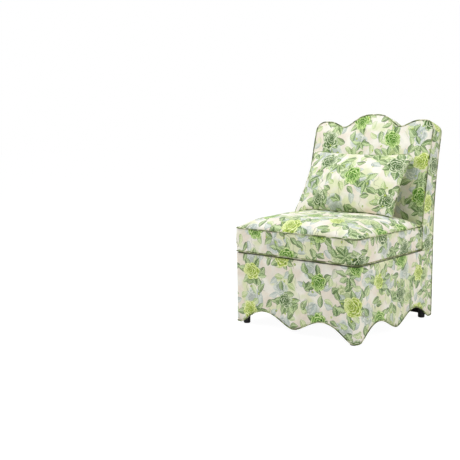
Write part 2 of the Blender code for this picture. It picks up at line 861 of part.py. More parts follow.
def add_top_rail(shop, wood):
    """The scalloped top rail, which stands on the stiles."""
    front, upward, through, _ = crest_frame()
    near, far = top_rail_reach()
    line = back_outline(base_height)[side_steps:-side_steps]
    inset = inset_line(back_outline(base_height), top_rail_padding)[side_steps:-side_steps]
    depth = back_front(line[:, 1])
    lift = (depth - front[0]) * upward[0] + (inset[:, 1] - front[1]) * upward[1]
    bottom = (top_rail_bottom_height - front[1]) / upward[1]
    half = half_width - skin_inset
    across = np.clip(inset[:, 0], -half, half)
    outline = list(zip(across, lift)) + [(across[-1], bottom), (across[0], bottom)]
    centre = front + through * (near + far) / 2
    lean = math.atan2(upward[0], upward[1])
    shop.board("back_top_rail", outline, [], far - near, wood, (0, *centre),
               (math.pi / 2 - lean, 0, 0))


def add_webs(shop, webbing):
    """Elastic webs stretched across the front of the stiles."""
    end = half_width - web_end_inset
    for number, height in enumerate(np.linspace(first_web_height, last_web_height, web_count), 1):
        depth = stile_front(height) - fit_gap - web_thickness / 2
        half = (web_thickness / 2, web_height / 2)
        shop.box(f"back_web_{number}", (-end, depth - half[0], height - half[1]),
                 (end, depth + half[0], height + half[1]), webbing, (-back_slope(height), 0, 0))


def add_backer(shop, hardboard):
    """The thin board that the outside back is stretched over."""
    heights = np.linspace(rear_board_height + fit_gap, backer_top_height, outside_back_rows)
    rear = back_rear(heights) - cloth_thickness / 2 - curve_gap
    outline = list(zip(rear, heights)) + list(zip(rear - backer_thickness, heights))[::-1]
    width = 2 * (half_width - backer_edge_inset)
    shop.board("back_backer", outline, [], width, hardboard, (0, 0, 0), upright_side)


def add_back_foam(shop, foam):
    """Foam between the inside back panel and the webs."""
    face = inside_back_points()
    inward = -surface_normals(face)
    inward *= np.sign(inward[..., 1:2])
    face = face + inward * (cloth_thickness / 2 + fit_gap)
    height = face[..., 2]
    through = (stile_front(height) - back_front(height)) / (back_rear(height) - back_front(height))
    height = height - through * crest_drop(height)
    depth = stile_front(height) - web_thickness - fit_gap - curve_gap
    rear = np.stack([face[..., 0], depth, height], axis=-1)
    shop.block("back_foam", face, rear, foam)


# Covers of the base and back
def add_base_cover(shop, print_cloth):
    """Cloth round the front and sides, with its scalloped edge, and the piping along it."""
    path = base_path()
    length = path_length(path[:, :2])
    bottom = raised_edge(length, path[:, 2], seam_inset)
    low = np.column_stack([path[:, :2], bottom])
    high = np.column_stack([path[:, :2], np.full(len(path), base_height)])
    shop.sheet("base_cover", np.stack([low, high], axis=1), print_cloth)
    shop.piping("base_hem_piping", path, False, print_cloth)


def add_inside_back(shop, print_cloth):
    """The crowned inside back panel and the piping round its edge."""
    shop.sheet("inside_back_cover", inside_back_points(), print_cloth)
    line = back_outline(base_height + seam_inset)
    path = np.column_stack([line[:, 0], back_front(line[:, 1]), line[:, 1]])
    shop.piping("inside_back_piping", path, False, print_cloth)


def add_back_band(shop, print_cloth):
    """The boxing band up one side, over the scalloped top and down the other side."""
    front_line = back_outline(base_height + fit_gap)
    rear_line = rear_outline(base_height + fit_gap)
    front = np.column_stack([front_line[:, 0], back_front(front_line[:, 1]), front_line[:, 1]])
    rear = np.column_stack([rear_line[:, 0], back_rear(rear_line[:, 1]), rear_line[:, 1]])
    along = rear - front
    along /= np.linalg.norm(along, axis=1)[:, None]
    start = front + along * seam_inset
    end = rear - along * seam_inset
    share = np.linspace(0, 1, band_rows + 1)[None, :, None]
    shop.sheet("back_band", start[:, None] + (end - start)[:, None] * share, print_cloth)


def add_outside_back(shop, print_cloth):
    """The outside back panel, and the piping all round it."""
    shop.sheet("outside_back_cover", outside_back_points(), print_cloth)
    line = rear_outline(base_height)
    path = np.column_stack([line[:, 0], back_rear(line[:, 1]), line[:, 1]])
    foot = [(half_width, half_depth, rear_hem_height), (-half_width, half_depth, rear_hem_height)]
    shop.piping("outside_back_piping", np.concatenate([path, foot]), True, print_cloth)


# Seat
def add_seat(shop, wood, foam, lining, print_cloth):
    """The board-backed seat that lifts off the base."""
    x, y = seat_plan(crowned_inset)
    border = grid_border(np.stack([x, y], axis=-1))
    outline = [tuple(point) for point in border]
    shop.board("seat_board", outline, [], seat_board_thickness, wood,
               (0, 0, (seat_board_bottom + seat_board_top) / 2), (0, 0, 0))
    shop.board("seat_lining", outline, [], seat_lining_thickness, lining,
               (0, 0, seat_lining_bottom + seat_lining_thickness / 2), (0, 0, 0))
    add_seat_battens(shop, wood)
    top = seat_top_points(crowned_inset)
    upward = surface_normals(top)
    upward *= np.sign(upward[..., 2:3])
    face = top - upward * (cloth_thickness / 2 + curve_gap)
    base = face.copy()
    base[..., 2] = seat_board_top + fit_gap
    shop.block("seat_foam", face, base, foam, flat_rear=True)
    shop.sheet("seat_top_cover", top, print_cloth)
    add_seat_band(shop, print_cloth)
    x, y = seat_plan(0)
    for name, height in (("upper", seat_edge_height), ("lower", seat_lower_piping)):
        loop = grid_border(np.stack([x, y, np.full(x.shape, height)], axis=-1))
        shop.piping(f"seat_{name}_piping", loop, True, print_cloth)


def add_seat_band(shop, print_cloth):
    """The boxing band round the seat, slightly bulged at mid height."""
    x, y = seat_plan(0)
    loop = grid_border(np.stack([x, y, np.zeros(x.shape)], axis=-1))
    loop = np.concatenate([loop, loop[:1]])
    centre = np.array([0, (seat_front + seat_rear) / 2, 0])
    outward = np.sign(loop - centre)
    inner = [seat_half_width - seat_corner_radius, (seat_rear - seat_front) / 2 - seat_corner_radius, 0]
    outward *= np.abs(loop - centre) > inner
    bottom = seat_lower_piping + seam_inset
    top = seat_edge_height - seam_inset
    rows = []
    for share in np.linspace(0, 1, seat_band_rows + 1):
        bulge = seat_band_bulge * math.sin(math.pi * share)
        row = loop + outward * bulge * (loop[:, 1:2] < seat_rear - seat_corner_radius)
        row[:, 2] = bottom + (top - bottom) * share
        rows.append(row)
    shop.sheet("seat_band", np.stack(rows, axis=1), print_cloth, joined=True)


def add_seat_battens(shop, wood):
    """Battens under the seat that drop inside the cleats and keep it in place."""
    reach = side_board_inner - cleat_width - fit_gap - seat_batten_play
    top = seat_lining_bottom - fit_gap
    bottom = top - seat_batten_height
    front = front_board_inner + cleat_width + fit_gap + seat_batten_play
    rear = rear_rail_front - seat_batten_play
    start = front + seat_batten_width + fit_gap
    for side, sign in (("left", -1), ("right", 1)):
        x = sorted((sign * reach, sign * (reach - seat_batten_width)))
        shop.box(f"seat_batten_{side}", (x[0], start, bottom), (x[1], rear, top), wood)
    shop.box("seat_batten_front", (-reach, front, bottom), (reach, front + seat_batten_width, top), wood)


# Pillow
def add_pillow(shop, stuffing, print_cloth):
    """The loose pillow, in its own turned frame."""
    inner = slice(1, -1)
    faces = []
    for name, side in (("front", -1), ("rear", 1)):
        points = pillow_points(crowned_inset, side)
        shop.sheet(f"pillow_{name}_cover", points, print_cloth)
        inward = surface_normals(points)
        inward *= -side * np.sign(inward[..., 1:2])
        faces.append((points + inward * (cloth_thickness / 2 + fit_gap))[inner, inner])
    shop.block("pillow_insert", faces[0], faces[1], stuffing)
    shop.piping("pillow_piping", grid_border(pillow_points(0, 0)), True, print_cloth)


def main():
    """Build the whole chair."""
    for item in list(bpy.data.objects):
        bpy.data.objects.remove(item)
    print_cloth = make_material("printed_cotton", (0.72, 0.76, 0.60), 0.85)
    wood = make_material("plywood", (0.62, 0.45, 0.27), 0.6)
    hardboard = make_material("hardboard", (0.33, 0.20, 0.11), 0.7)
    foam = make_material("foam", (0.90, 0.86, 0.70), 0.9)
    webbing = make_material("webbing", (0.06, 0.06, 0.07), 0.8)
    black_cloth = make_material("dust_cloth", (0.02, 0.02, 0.02), 0.9)
    plastic = make_material("black_plastic", (0.015, 0.015, 0.017), 0.4)
    steel = make_material("zinc_steel", (0.60, 0.60, 0.58), 0.35, 1.0)

    shop = Workshop()
    add_side_boards(shop, wood)
    add_front_board(shop, wood)
    add_rear_board(shop, wood)
    add_bottom(shop, wood, black_cloth)
    add_corner_blocks(shop, wood)
    add_feet(shop, plastic, steel)
    add_seat_bearers(shop, wood)
    add_back_rails(shop, wood)
    add_top_rail(shop, wood)
    add_webs(shop, webbing)
    add_backer(shop, hardboard)
    add_back_foam(shop, foam)
    add_base_cover(shop, print_cloth)
    add_inside_back(shop, print_cloth)
    add_back_band(shop, print_cloth)
    add_outside_back(shop, print_cloth)

    seat = shop.add_empty("seat_lift", (0, 0, 0), shop.root)
    shop.holder = seat
    add_seat(shop, wood, foam, black_cloth, print_cloth)
    pillow = shop.add_empty("pillow_rest", settled_pillow(), seat)
    pillow.rotation_mode = "QUATERNION"
    pillow.rotation_quaternion = pillow_turn().to_quaternion()
    shop.holder = pillow
    add_pillow(shop, foam, print_cloth)


main()
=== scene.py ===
"""Printed accent chair: its looks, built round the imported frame.

Metres, +Z up, and the chair faces -Y. Every shape is a grid of points worked out from named sizes, and
every finish is a node graph made in code.
"""

import json
import logging
import math
from dataclasses import dataclass
from enum import Enum
from typing import Callable, Optional, Union

import bmesh
import bpy
import numpy as np
from mathutils import Matrix, Vector

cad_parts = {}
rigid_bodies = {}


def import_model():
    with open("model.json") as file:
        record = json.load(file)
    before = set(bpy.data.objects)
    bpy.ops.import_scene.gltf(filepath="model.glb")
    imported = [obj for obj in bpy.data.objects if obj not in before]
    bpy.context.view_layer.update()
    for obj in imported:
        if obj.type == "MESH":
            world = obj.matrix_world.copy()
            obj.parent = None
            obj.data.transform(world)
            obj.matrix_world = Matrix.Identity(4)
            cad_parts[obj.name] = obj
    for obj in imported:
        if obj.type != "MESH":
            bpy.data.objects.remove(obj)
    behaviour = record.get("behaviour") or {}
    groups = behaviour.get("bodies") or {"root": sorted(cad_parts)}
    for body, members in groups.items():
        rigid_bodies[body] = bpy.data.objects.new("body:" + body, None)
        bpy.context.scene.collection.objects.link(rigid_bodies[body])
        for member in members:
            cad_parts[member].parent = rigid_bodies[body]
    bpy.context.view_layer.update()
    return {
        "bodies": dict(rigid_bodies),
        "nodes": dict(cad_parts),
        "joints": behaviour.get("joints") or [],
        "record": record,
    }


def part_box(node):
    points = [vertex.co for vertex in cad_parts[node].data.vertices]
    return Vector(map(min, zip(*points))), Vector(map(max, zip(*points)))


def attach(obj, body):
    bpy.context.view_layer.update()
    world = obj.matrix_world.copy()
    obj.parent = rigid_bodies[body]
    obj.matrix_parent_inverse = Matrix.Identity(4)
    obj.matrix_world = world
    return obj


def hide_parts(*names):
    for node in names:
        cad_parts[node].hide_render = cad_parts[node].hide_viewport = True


LOG = logging.getLogger("chair")
TURN = 2 * math.pi
QUARTER = math.pi / 2
Array = np.ndarray
Pair = tuple[float, float]
Triple = Colour = tuple[float, float, float]
Patch = tuple[Array, Array]


def tone(red: int, green: int, blue: int) -> Colour:
    """Turn a screen colour, each part 0 to 255, into a linear one."""
    share = np.array([red, green, blue]) / 255
    return tuple(np.where(share <= 0.04045, share / 12.92, ((share + 0.055) / 1.055) ** 2.4).tolist())


# Node graphs
def _operator(kind: str) -> Callable:
    """Make one of Signal's operators.

    Args: kind: the Math node's operation.
    Returns: the method.
    """

    def method(self: "Signal", *others: "Value") -> "Signal":
        """Apply the operation to this signal and the others."""
        return self.graph.math(kind, self, *others)

    return method


class Signal:
    """A node's output that can be used in sums."""

    def __init__(self, graph: "Graph", socket: bpy.types.NodeSocket) -> None:
        """Keep the graph and the output."""
        self.graph, self.socket = graph, socket

    __add__ = __radd__ = _operator("ADD")
    __sub__, __mul__, __truediv__ = _operator("SUBTRACT"), _operator("MULTIPLY"), _operator("DIVIDE")
    __pow__, __abs__ = _operator("POWER"), _operator("ABSOLUTE")
    floor, fraction, modulo = _operator("FLOOR"), _operator("FRACT"), _operator("FLOORED_MODULO")
    sine, cosine = _operator("SINE"), _operator("COSINE")
    lower, higher = _operator("MINIMUM"), _operator("MAXIMUM")

    def rises(self, low: float, high: float) -> "Signal":
        """Rise smoothly from 0 at low to 1 at high; from 1 to 0 where low is the greater."""
        ends = {1: min(low, high), 2: max(low, high), 3: float(low > high), 4: float(low < high)}
        return self.graph.signal("MapRange", {"interpolation_type": "SMOOTHSTEP"}, {0: self, **ends})


Value = Union[Signal, float]


class Graph:
    """The nodes of one material or world, all made by one method."""

    def __init__(self, owner: Union[bpy.types.Material, bpy.types.World]) -> None:
        """Empty the node tree.

        Args: owner: the material or world.
        """
        owner.use_nodes = True
        self.owner, self.tree = owner, owner.node_tree
        self.tree.nodes.clear()

    def node(self, kind: str, settings: Optional[dict] = None,
             feeds: Optional[dict] = None) -> bpy.types.Node:
        """Make a node.

        Args: kind: its type without the prefix. settings: its properties. feeds: values or links by socket.
        Returns: the node.
        """
        made = self.tree.nodes.new("ShaderNode" + kind)
        for name, value in (settings or {}).items():
            setattr(made, name, value)
        for key, value in (feeds or {}).items():
            socket = made.inputs[key]
            if isinstance(value, Signal):
                self.tree.links.new(value.socket, socket)
            elif socket.type == "RGBA":
                socket.default_value = (*value, 1)
            else:
                socket.default_value = value
        return made

    def signal(self, kind: str, settings: Optional[dict] = None, feeds: Optional[dict] = None,
               output: Union[int, str] = 0) -> Signal:
        """Make a node as above and take one of its outputs."""
        return Signal(self, self.node(kind, settings, feeds).outputs[output])

    def math(self, kind: str, *values: Value) -> Signal:
        """Make a Math node of a kind over values."""
        return self.signal("Math", {"operation": kind}, dict(enumerate(values)))

    def mix(self, share: Value, first: Union[Signal, Colour], second: Union[Signal, Colour],
            blend: str = "MIX") -> Signal:
        """Mix a share of the second colour into the first."""
        settings = {"data_type": "RGBA", "blend_type": blend}
        return self.signal("Mix", settings, {0: share, 6: first, 7: second}, 2)

    def point(self, x: Value, y: Value, z: Value = 0.0) -> Signal:
        """Join three numbers."""
        return self.signal("CombineXYZ", None, {0: x, 1: y, 2: z})

    def split(self, vector: Signal) -> list[Signal]:
        """Split a vector into its three numbers."""
        return [Signal(self, out) for out in self.node("SeparateXYZ", None, {0: vector}).outputs]

    def noise(self, vector: Signal, scale: float, detail: float = 2.0, output: int = 0) -> Signal:
        """Soft noise with a fineness and octaves; output 0 is a share and 1 a colour."""
        return self.signal("TexNoise", None, {"Vector": vector, "Scale": scale, "Detail": detail}, output)

    def chance(self, x: Value, y: Value, z: Value) -> list[Signal]:
        """Four even random shares that hang on three numbers."""
        made = self.node("TexWhiteNoise", {"noise_dimensions": "3D"}, {"Vector": self.point(x, y, z)})
        return [Signal(self, made.outputs[0]), *self.split(Signal(self, made.outputs[1]))]

    def cloth(self) -> Signal:
        """Place on the cloth, in metres."""
        return self.signal("UVMap", {"uv_map": "Cloth"})

    def finish(self, height: Signal, strength: float, distance: float,
               **sockets: object) -> bpy.types.Material:
        """Make the shader and the output.

        Args: height: relief. strength, distance: of the bump. sockets: the shader's, by name.
        Returns: the material.
        """
        feeds = {name.replace("_", " "): value for name, value in sockets.items()}
        bump = {"Strength": strength, "Distance": distance, "Height": height}
        feeds["Normal"] = self.signal("Bump", None, bump)
        self.node("OutputMaterial", None, {0: self.signal("BsdfPrincipled", None, feeds)})
        return self.owner


# Finishes
@dataclass(frozen=True)
class Blossom:
    """Colours of one kind of flower or leaf, from its rim inwards."""

    light: Colour
    middle: Colour
    dark: Colour


@dataclass(frozen=True)
class Lattice:
    """A half-drop lattice of motifs, each moved from its cell's middle by a share of the cell."""

    size: float
    seed: float
    jitter_share: float = 0.30

    def cell(self, place: Signal) -> tuple[Signal, Signal, list[Signal]]:
        """Find the cell under a point.

        Args: place: where.
        Returns: x and y from the cell's motif, and four shares of chance.
        """
        u, v, _ = place.graph.split(place)
        column = (u / self.size + self.seed).floor()
        drop = column.modulo(2.0) * 0.5
        row = (v / self.size + drop).floor()
        luck = place.graph.chance(column, row, self.seed)
        x = u - (column - self.seed + 0.5 + (luck[1] - 0.5) * self.jitter_share) * self.size
        y = v - (row - drop + 0.5 + (luck[2] - 0.5) * self.jitter_share) * self.size
        return x, y, luck


@dataclass(frozen=True)
class LooseLeaves:
    """One layer of single leaves: the share of cells with one, its length, colours and strength."""

    lattice: Lattice
    filled_share: float
    length: float
    paint: Blossom
    strength: float


@dataclass(frozen=True)
class Wreath:
    """Leaves that stand out round a point: places for one, where they start, their sizes, the share there."""

    places: int
    start: float
    length: float
    width: float
    filled_share: float


@dataclass(frozen=True)
class PrintedCotton:
    """Cotton printed with flowers, leaves and sprays in watercolour, on the Cloth map in metres."""

    name: str
    ground: Colour = tone(247, 243, 230)
    ground_rosy: Colour = tone(239, 229, 212)
    wash: Colour = tone(224, 230, 180)
    stem: Colour = tone(96, 100, 58)
    green: Blossom = Blossom(tone(208, 224, 170), tone(114, 148, 80), tone(38, 70, 26))
    pale: Blossom = Blossom(tone(230, 237, 196), tone(190, 212, 134), tone(132, 164, 76))
    grey: Blossom = Blossom(tone(228, 232, 222), tone(190, 203, 196), tone(140, 157, 150))
    peony: Blossom = Blossom(tone(240, 244, 190), tone(196, 216, 92), tone(112, 144, 34))
    rose: Blossom = Blossom(tone(224, 237, 172), tone(120, 174, 54), tone(42, 88, 18))
    dark_rose: Blossom = Blossom(tone(234, 239, 208), tone(112, 144, 78), tone(36, 64, 26))
    faint_flowers: Lattice = Lattice(0.150, 4.25)
    sprays: Lattice = Lattice(0.158, 1.5, 0.24)
    flowers: Lattice = Lattice(0.172, 0.0, 0.16)
    buds: Lattice = Lattice(0.047, 7.5, 0.45)
    loose: tuple[LooseLeaves, ...] = (
        LooseLeaves(Lattice(0.068, 11.5), 0.56, 0.050, grey, 0.80),
        LooseLeaves(Lattice(0.064, 9.25), 0.66, 0.048, pale, 0.80),
        LooseLeaves(Lattice(0.076, 5.75), 0.70, 0.056, green, 0.90),
        LooseLeaves(Lattice(0.066, 14.5), 0.40, 0.048, green, 0.92))
    spray: Wreath = Wreath(7, 0.004, 0.055, 0.0118, 0.60)
    collar: Wreath = Wreath(6, 0.024, 0.050, 0.0142, 0.74)
    faint_radius: float = 0.034
    radius: float = 0.032
    petal_rings: tuple[tuple[float, int, float], ...] = (
        (1.0, 6, 0.0), (0.76, 5, 1.1), (0.55, 4, 2.3), (0.36, 3, 0.6), (0.19, 3, 1.9))
    leaf_edge: float = 0.0010
    leaf_rim: float = 0.0036
    leaf_rib: float = 0.0018
    vein_spacing: float = 0.0076
    stem_spacing: float = 0.094
    stem_width: float = 0.0013
    frayed: float = 0.0034
    bent: float = 0.017
    thread: float = 0.0011
    leaf_fullness: float = 0.74
    leaf_slimness: float = 0.27
    leaf_bend: float = 0.35
    leaf_tint: Pair = (0.44, 0.20)
    half_shade: float = 0.30
    foot_shade: float = 0.22
    rim_shade: float = 0.58
    rib_light: float = 0.62
    vein_shade: float = 0.20
    vein_slant: float = 0.8
    wreath_stray: float = 0.25
    wreath_bend: float = 9.0
    wreath_growth: Pair = (0.4, 0.7)
    wreath_tint: Pair = (0.44, 0.18)
    flower_growth: float = 0.35
    flower_flatness: float = 0.86
    heart_rise: float = 0.34
    petal_shade: float = 0.80
    petal_outline: float = 0.50
    streak_shade: float = 1.6
    bud_radius: Pair = (0.0026, 0.0034)
    bud_core: float = 0.006
    faint_strength: float = 0.74
    stem_strength: float = 0.65
    wreath_strength: float = 0.95
    bud_strength: float = 0.85
    wash_strength: float = 0.75
    grain: Pair = (260.0, 0.16)
    mottle: Pair = (48.0, 0.22)
    brightness: float = 0.81

    def ramp(self, deep: Signal, light: Value, middle: Value, dark: Value) -> Signal:
        """Run from light over middle to dark as deep goes from 0 to 1."""
        return deep.graph.mix(deep * 2.0 - 1.0, deep.graph.mix(deep * 2.0, light, middle), dark)

    def leaf(self, along: Signal, across: Signal, length: Value, width: Value, paint: Blossom,
             tint: Value) -> tuple[Signal, Signal]:
        """Paint one leaf: one half darker, veins, a light rib and a dark rim.

        Args: along, across: place from its foot. length, width: its size, width from its rib. paint: its
            colours. tint: how much darker.
        Returns: its mask and its colour.
        """
        share = (along / length).lower(1.0).higher(0.0)
        side = abs(across)
        room = (share ** self.leaf_fullness * math.pi).sine() * width - side
        vein = ((along - side * self.vein_slant) * (TURN / self.vein_spacing)).sine() * self.vein_shade
        half, foot = across.rises(-0.003, 0.003), share.rises(1.0, 0.0)
        rim, rib = room.rises(self.leaf_rim, 0.0004), side.rises(self.leaf_rib, 0.0005)
        deep = half * self.half_shade + foot * self.foot_shade + vein + tint
        deep = deep + rim * self.rim_shade - rib * self.rib_light
        return room.rises(0.0, self.leaf_edge), self.ramp(deep, paint.light, paint.middle, paint.dark)

    def scatter(self, place: Signal, layer: LooseLeaves) -> tuple[Signal, Signal]:
        """Paint single leaves, turned any way and bent, one to a cell.

        Args: place: where. layer: which leaves.
        Returns: their mask and their colour.
        """
        x, y, luck = layer.lattice.cell(place)
        angle, length = luck[3] * TURN, layer.length
        a, b = angle.cosine(), angle.sine()
        across = x * a + y * b
        along = y * a - x * b + length / 2
        bend = across - (along / length - 0.5) ** 2.0 * (length * self.leaf_bend)
        tint = luck[1] * self.leaf_tint[0] - self.leaf_tint[1]
        mask, colour = self.leaf(along, bend, length, length * self.leaf_slimness, layer.paint, tint)
        return mask * luck[0].rises(1.0 - layer.filled_share, 1.01 - layer.filled_share), colour

    def wreath(self, x: Signal, y: Signal, luck: list[Signal], kind: Wreath) -> tuple[Signal, Signal]:
        """Paint leaves that stand out round a point.

        Args: x, y: place from the point. luck: the cell's chance. kind: which leaves.
        Returns: their mask and their colour.
        """
        count = kind.places
        place = (x.graph.math("ARCTAN2", y, x) / TURN + luck[2]) * count
        own = x.graph.chance(place.floor().modulo(float(count)), luck[0] * 91.0, float(count))
        turn = (place.fraction() - 0.5 + (own[1] - 0.5) * self.wreath_stray) * (TURN / count)
        reach = (x * x + y * y) ** 0.5
        across = reach * turn.sine() - (reach - kind.start) ** 2.0 * ((own[3] - 0.5) * self.wreath_bend)
        growth, least = self.wreath_growth
        length = own[2] * (kind.length * growth) + kind.length * least
        tint = own[3] * self.wreath_tint[0] - self.wreath_tint[1]
        mask, colour = self.leaf(reach * turn.cosine() - kind.start, across, length, kind.width,
                                 self.green, tint)
        return mask * own[0].rises(1.0 - kind.filled_share, 1.01 - kind.filled_share), colour

    def flower(self, x: Signal, y: Signal, luck: list[Signal], kinds: tuple[Blossom, ...], size: float,
               rings: int) -> tuple[Signal, Signal]:
        """Paint a flower: scalloped, streaked rings of petals round a heart above its middle.

        Args: x, y: place from its middle. luck: chance for its size, turn and kind. kinds: three kinds.
            size: its least radius. rings: how many, from the outermost.
        Returns: its mask and its colour.
        """
        graph = x.graph
        first, second = luck[0].rises(0.33, 0.34), luck[0].rises(0.66, 0.67)
        shades = [graph.mix(second, graph.mix(first, *(getattr(kind, part) for kind in kinds[:2])),
                            getattr(kinds[2], part)) for part in ("light", "middle", "dark")]
        radius = size + luck[3] * (size * self.flower_growth)
        angle = luck[1] * TURN
        a, b = angle.cosine(), angle.sine()
        u, v = x * a + y * b, (y * a - x * b) * self.flower_flatness
        mask = colour = None
        for scale, petals, phase in self.petal_rings[:rings]:
            low = v - radius * (self.heart_rise * (1.0 - scale))
            way = graph.math("ARCTAN2", low, u)
            lobe = abs((way * (petals / 2) + phase).cosine()) ** 0.5
            share = (u * u + low * low) ** 0.5 / (radius * scale * (lobe * 0.24 + 0.76))
            streak = graph.noise(graph.point(way * 2.4, share * 1.6, luck[0] * 37.0 + phase), 1.7, 1.0) - 0.5
            deep = share.rises(0.96, 0.72) * self.petal_shade + streak * self.streak_shade + 0.02
            deep = deep + share.rises(0.94, 0.99) * self.petal_outline
            inside, petal = share.rises(1.03, 0.97), self.ramp(deep, *shades)
            mask = mask or inside
            colour = graph.mix(inside, colour, petal) if colour else petal
        return mask, colour

    def layers(self, place: Signal, strand: Signal) -> list[tuple[Signal, Value, float]]:
        """Paint everything over the ground, from the faintest to the flowers.

        Args: place: where. strand: share of a stem there.
        Returns: each layer's mask, colour and strength.
        """
        faint, bloom = self.faint_flowers.cell(place), self.flowers.cell(place)
        faint_kinds, kinds = (self.grey, self.grey, self.pale), (self.peony, self.rose, self.dark_rose)
        x, y, luck = self.buds.cell(place)
        reach = (x * x + y * y) ** 0.5
        least, growth = self.bud_radius
        bud = (reach / (least + luck[3] * growth)).rises(1.1, 0.9) * luck[0].rises(0.70, 0.71)
        berry = x.graph.mix((reach / self.bud_core).rises(0.3, 1.0), self.peony.middle, self.rose.dark)
        return [(*self.flower(*faint, faint_kinds, self.faint_radius, 3), self.faint_strength),
                *((*self.scatter(place, layer), layer.strength) for layer in self.loose),
                (strand, self.stem, self.stem_strength),
                (*self.wreath(*self.sprays.cell(place), self.spray), self.wreath_strength),
                (*self.wreath(*bloom, self.collar), self.wreath_strength),
                (*self.flower(*bloom, kinds, self.radius, len(self.petal_rings)), 1.0),
                (bud, berry, self.bud_strength)]

    def make(self) -> bpy.types.Material:
        """Paint the ground, its washes and the layers, then grain and weave.

        Returns: the material.
        """
        graph = Graph(bpy.data.materials.new(self.name))
        cloth = graph.cloth()
        u, v, _ = graph.split(cloth)
        fine_x, fine_y, _ = graph.split(graph.noise(cloth, 110.0, 1.0, 1))
        broad_x, broad_y, sway = graph.split(graph.noise(cloth, 24.0, 1.0, 1))
        place = graph.point(u + (fine_x - 0.5) * self.frayed + (broad_x - 0.5) * self.bent,
                            v + (fine_y - 0.5) * self.frayed + (broad_y - 0.5) * self.bent)
        pools, washes, drift = graph.split(graph.noise(cloth, 12.0, 2.0, 1))
        colour = graph.mix(pools.rises(0.42, 0.62), self.ground, self.ground_rosy)
        colour = graph.mix(washes.rises(0.50, 0.64) * self.wash_strength, colour, self.wash)
        wander = (u + v * 0.35 + sway * 0.016 + drift * 0.14) / self.stem_spacing
        strand = (abs(wander.fraction() - 0.5) * self.stem_spacing).rises(self.stem_width, 0.0005)
        for mask, paint, strength in self.layers(place, strand * washes.rises(0.47, 0.53)):
            colour = graph.mix(mask * strength, colour, paint)
        light = graph.noise(cloth, self.grain[0], 1.0) * self.grain[1]
        light = light + graph.noise(place, self.mottle[0], 2.0) * self.mottle[1] + self.brightness
        colour = graph.mix(1.0, colour, graph.point(light, light, light), "MULTIPLY")
        turn = TURN / self.thread
        weave = (u * turn).sine() * (v * turn).sine() * 0.5 + graph.noise(cloth, 900.0, 1.0) * 0.5
        return graph.finish(weave, 0.25, 0.0004, Base_Color=colour, Roughness=0.80, Sheen_Weight=0.28,
                            Specular_IOR_Level=0.35)


@dataclass(frozen=True)
class ShadedCordCotton:
    """The printed cotton cut into narrow strips over a cord: bits of green and of ground, all darker than the
    print, with painted shade standing for the seam shadows beside the cord.
    """

    name: str
    # ground, green and dark carry painted shade: the print's colours darkened for the shadowed seams beside the
    # cord
    ground: Colour = tone(222, 220, 194)
    green: Colour = tone(154, 168, 114)
    dark: Colour = tone(82, 96, 56)

    def make(self) -> bpy.types.Material:
        """Mix the three colours by soft noise.

        Returns: the material.
        """
        graph = Graph(bpy.data.materials.new(self.name))
        cloth = graph.cloth()
        bits, darker, _ = graph.split(graph.noise(cloth, 34.0, 2.0, 1))
        colour = graph.mix(bits.rises(0.40, 0.54), self.ground, self.green)
        colour = graph.mix(darker.rises(0.44, 0.60), colour, self.dark)
        return graph.finish(graph.noise(cloth, 900.0, 1.0), 0.25, 0.0003, Base_Color=colour, Roughness=0.88,
                            Specular_IOR_Level=0.2)


@dataclass(frozen=True)
class PlainFinish:
    """A finish in two tones, mixed by stretched noise and by ribs, and near-black below a height as painted
    shade for the hollow under the chair.
    """

    name: str
    light: Colour
    dark: Colour
    stretch: Triple = (1.0, 1.0, 1.0)
    scale: float = 60.0
    rib: float = 0.0
    roughness: Pair = (0.55, 0.75)
    metallic: float = 0.0
    relief: float = 0.15
    shade_below: float = 0.0
    painted_shade_colour: Colour = tone(22, 22, 22)

    def make(self) -> bpy.types.Material:
        """Mix the two tones.

        Returns: the material.
        """
        graph = Graph(bpy.data.materials.new(self.name))
        x, y, z = graph.split(graph.signal("TexCoord", output="Object"))
        grain = graph.noise(graph.point(*(a * b for a, b in zip((x, y, z), self.stretch))), self.scale, 5.0)
        share = grain.rises(0.34, 0.66)
        if self.rib:
            share = share * 0.5 + ((z * (TURN / self.rib)).sine() * 0.5 + 0.5) * 0.5
        colour = graph.mix(share, self.light, self.dark)
        # painted shade: near-black below a height, where the hollow under the chair lies in shade
        if self.shade_below:
            colour = graph.mix(z.rises(self.shade_below + 0.001, self.shade_below), colour, self.painted_shade_colour)
        low, high = self.roughness
        roughness = grain * (high - low) + low
        return graph.finish(share, self.relief, 0.0006, Base_Color=colour, Roughness=roughness,
                            Metallic=self.metallic)


class Slot(Enum):
    """The record's material slots and their finishes."""

    print_cloth = PrintedCotton("printed_cotton")
    dust_cloth = PlainFinish("black_cloth", tone(30, 30, 31), tone(16, 16, 17), scale=420,
                             roughness=(0.85, 0.95))
    webbing = PlainFinish("elastic_webbing", tone(64, 64, 68), tone(24, 24, 27), rib=0.004, scale=300)
    foam = PlainFinish("cream_foam", tone(240, 228, 190), tone(222, 208, 166), scale=700,
                       roughness=(0.85, 0.95))
    fibre_filling = PlainFinish("fibre_filling", tone(244, 244, 242), tone(226, 226, 224), scale=300)
    # plywood below 0.079 m takes painted shade: the boards seen through the arches under the seat box
    plywood = PlainFinish("plywood", tone(218, 184, 134), tone(176, 134, 84), (1, 1, 14), 22, 0.0028,
                          shade_below=0.0790)
    hardwood = PlainFinish("hardwood", tone(206, 166, 116), tone(158, 114, 70), (2, 14, 14), 14)
    hardboard = PlainFinish("hardboard", tone(112, 80, 54), tone(78, 54, 36), scale=380, roughness=(0.6, 0.8))
    black_plastic = PlainFinish("black_plastic", tone(26, 26, 27), tone(17, 17, 18), scale=240,
                                roughness=(0.38, 0.55), relief=0.08)
    zinc_steel = PlainFinish("zinc_steel", tone(198, 198, 192), tone(150, 150, 146), scale=160,
                             roughness=(0.28, 0.45), metallic=1.0)


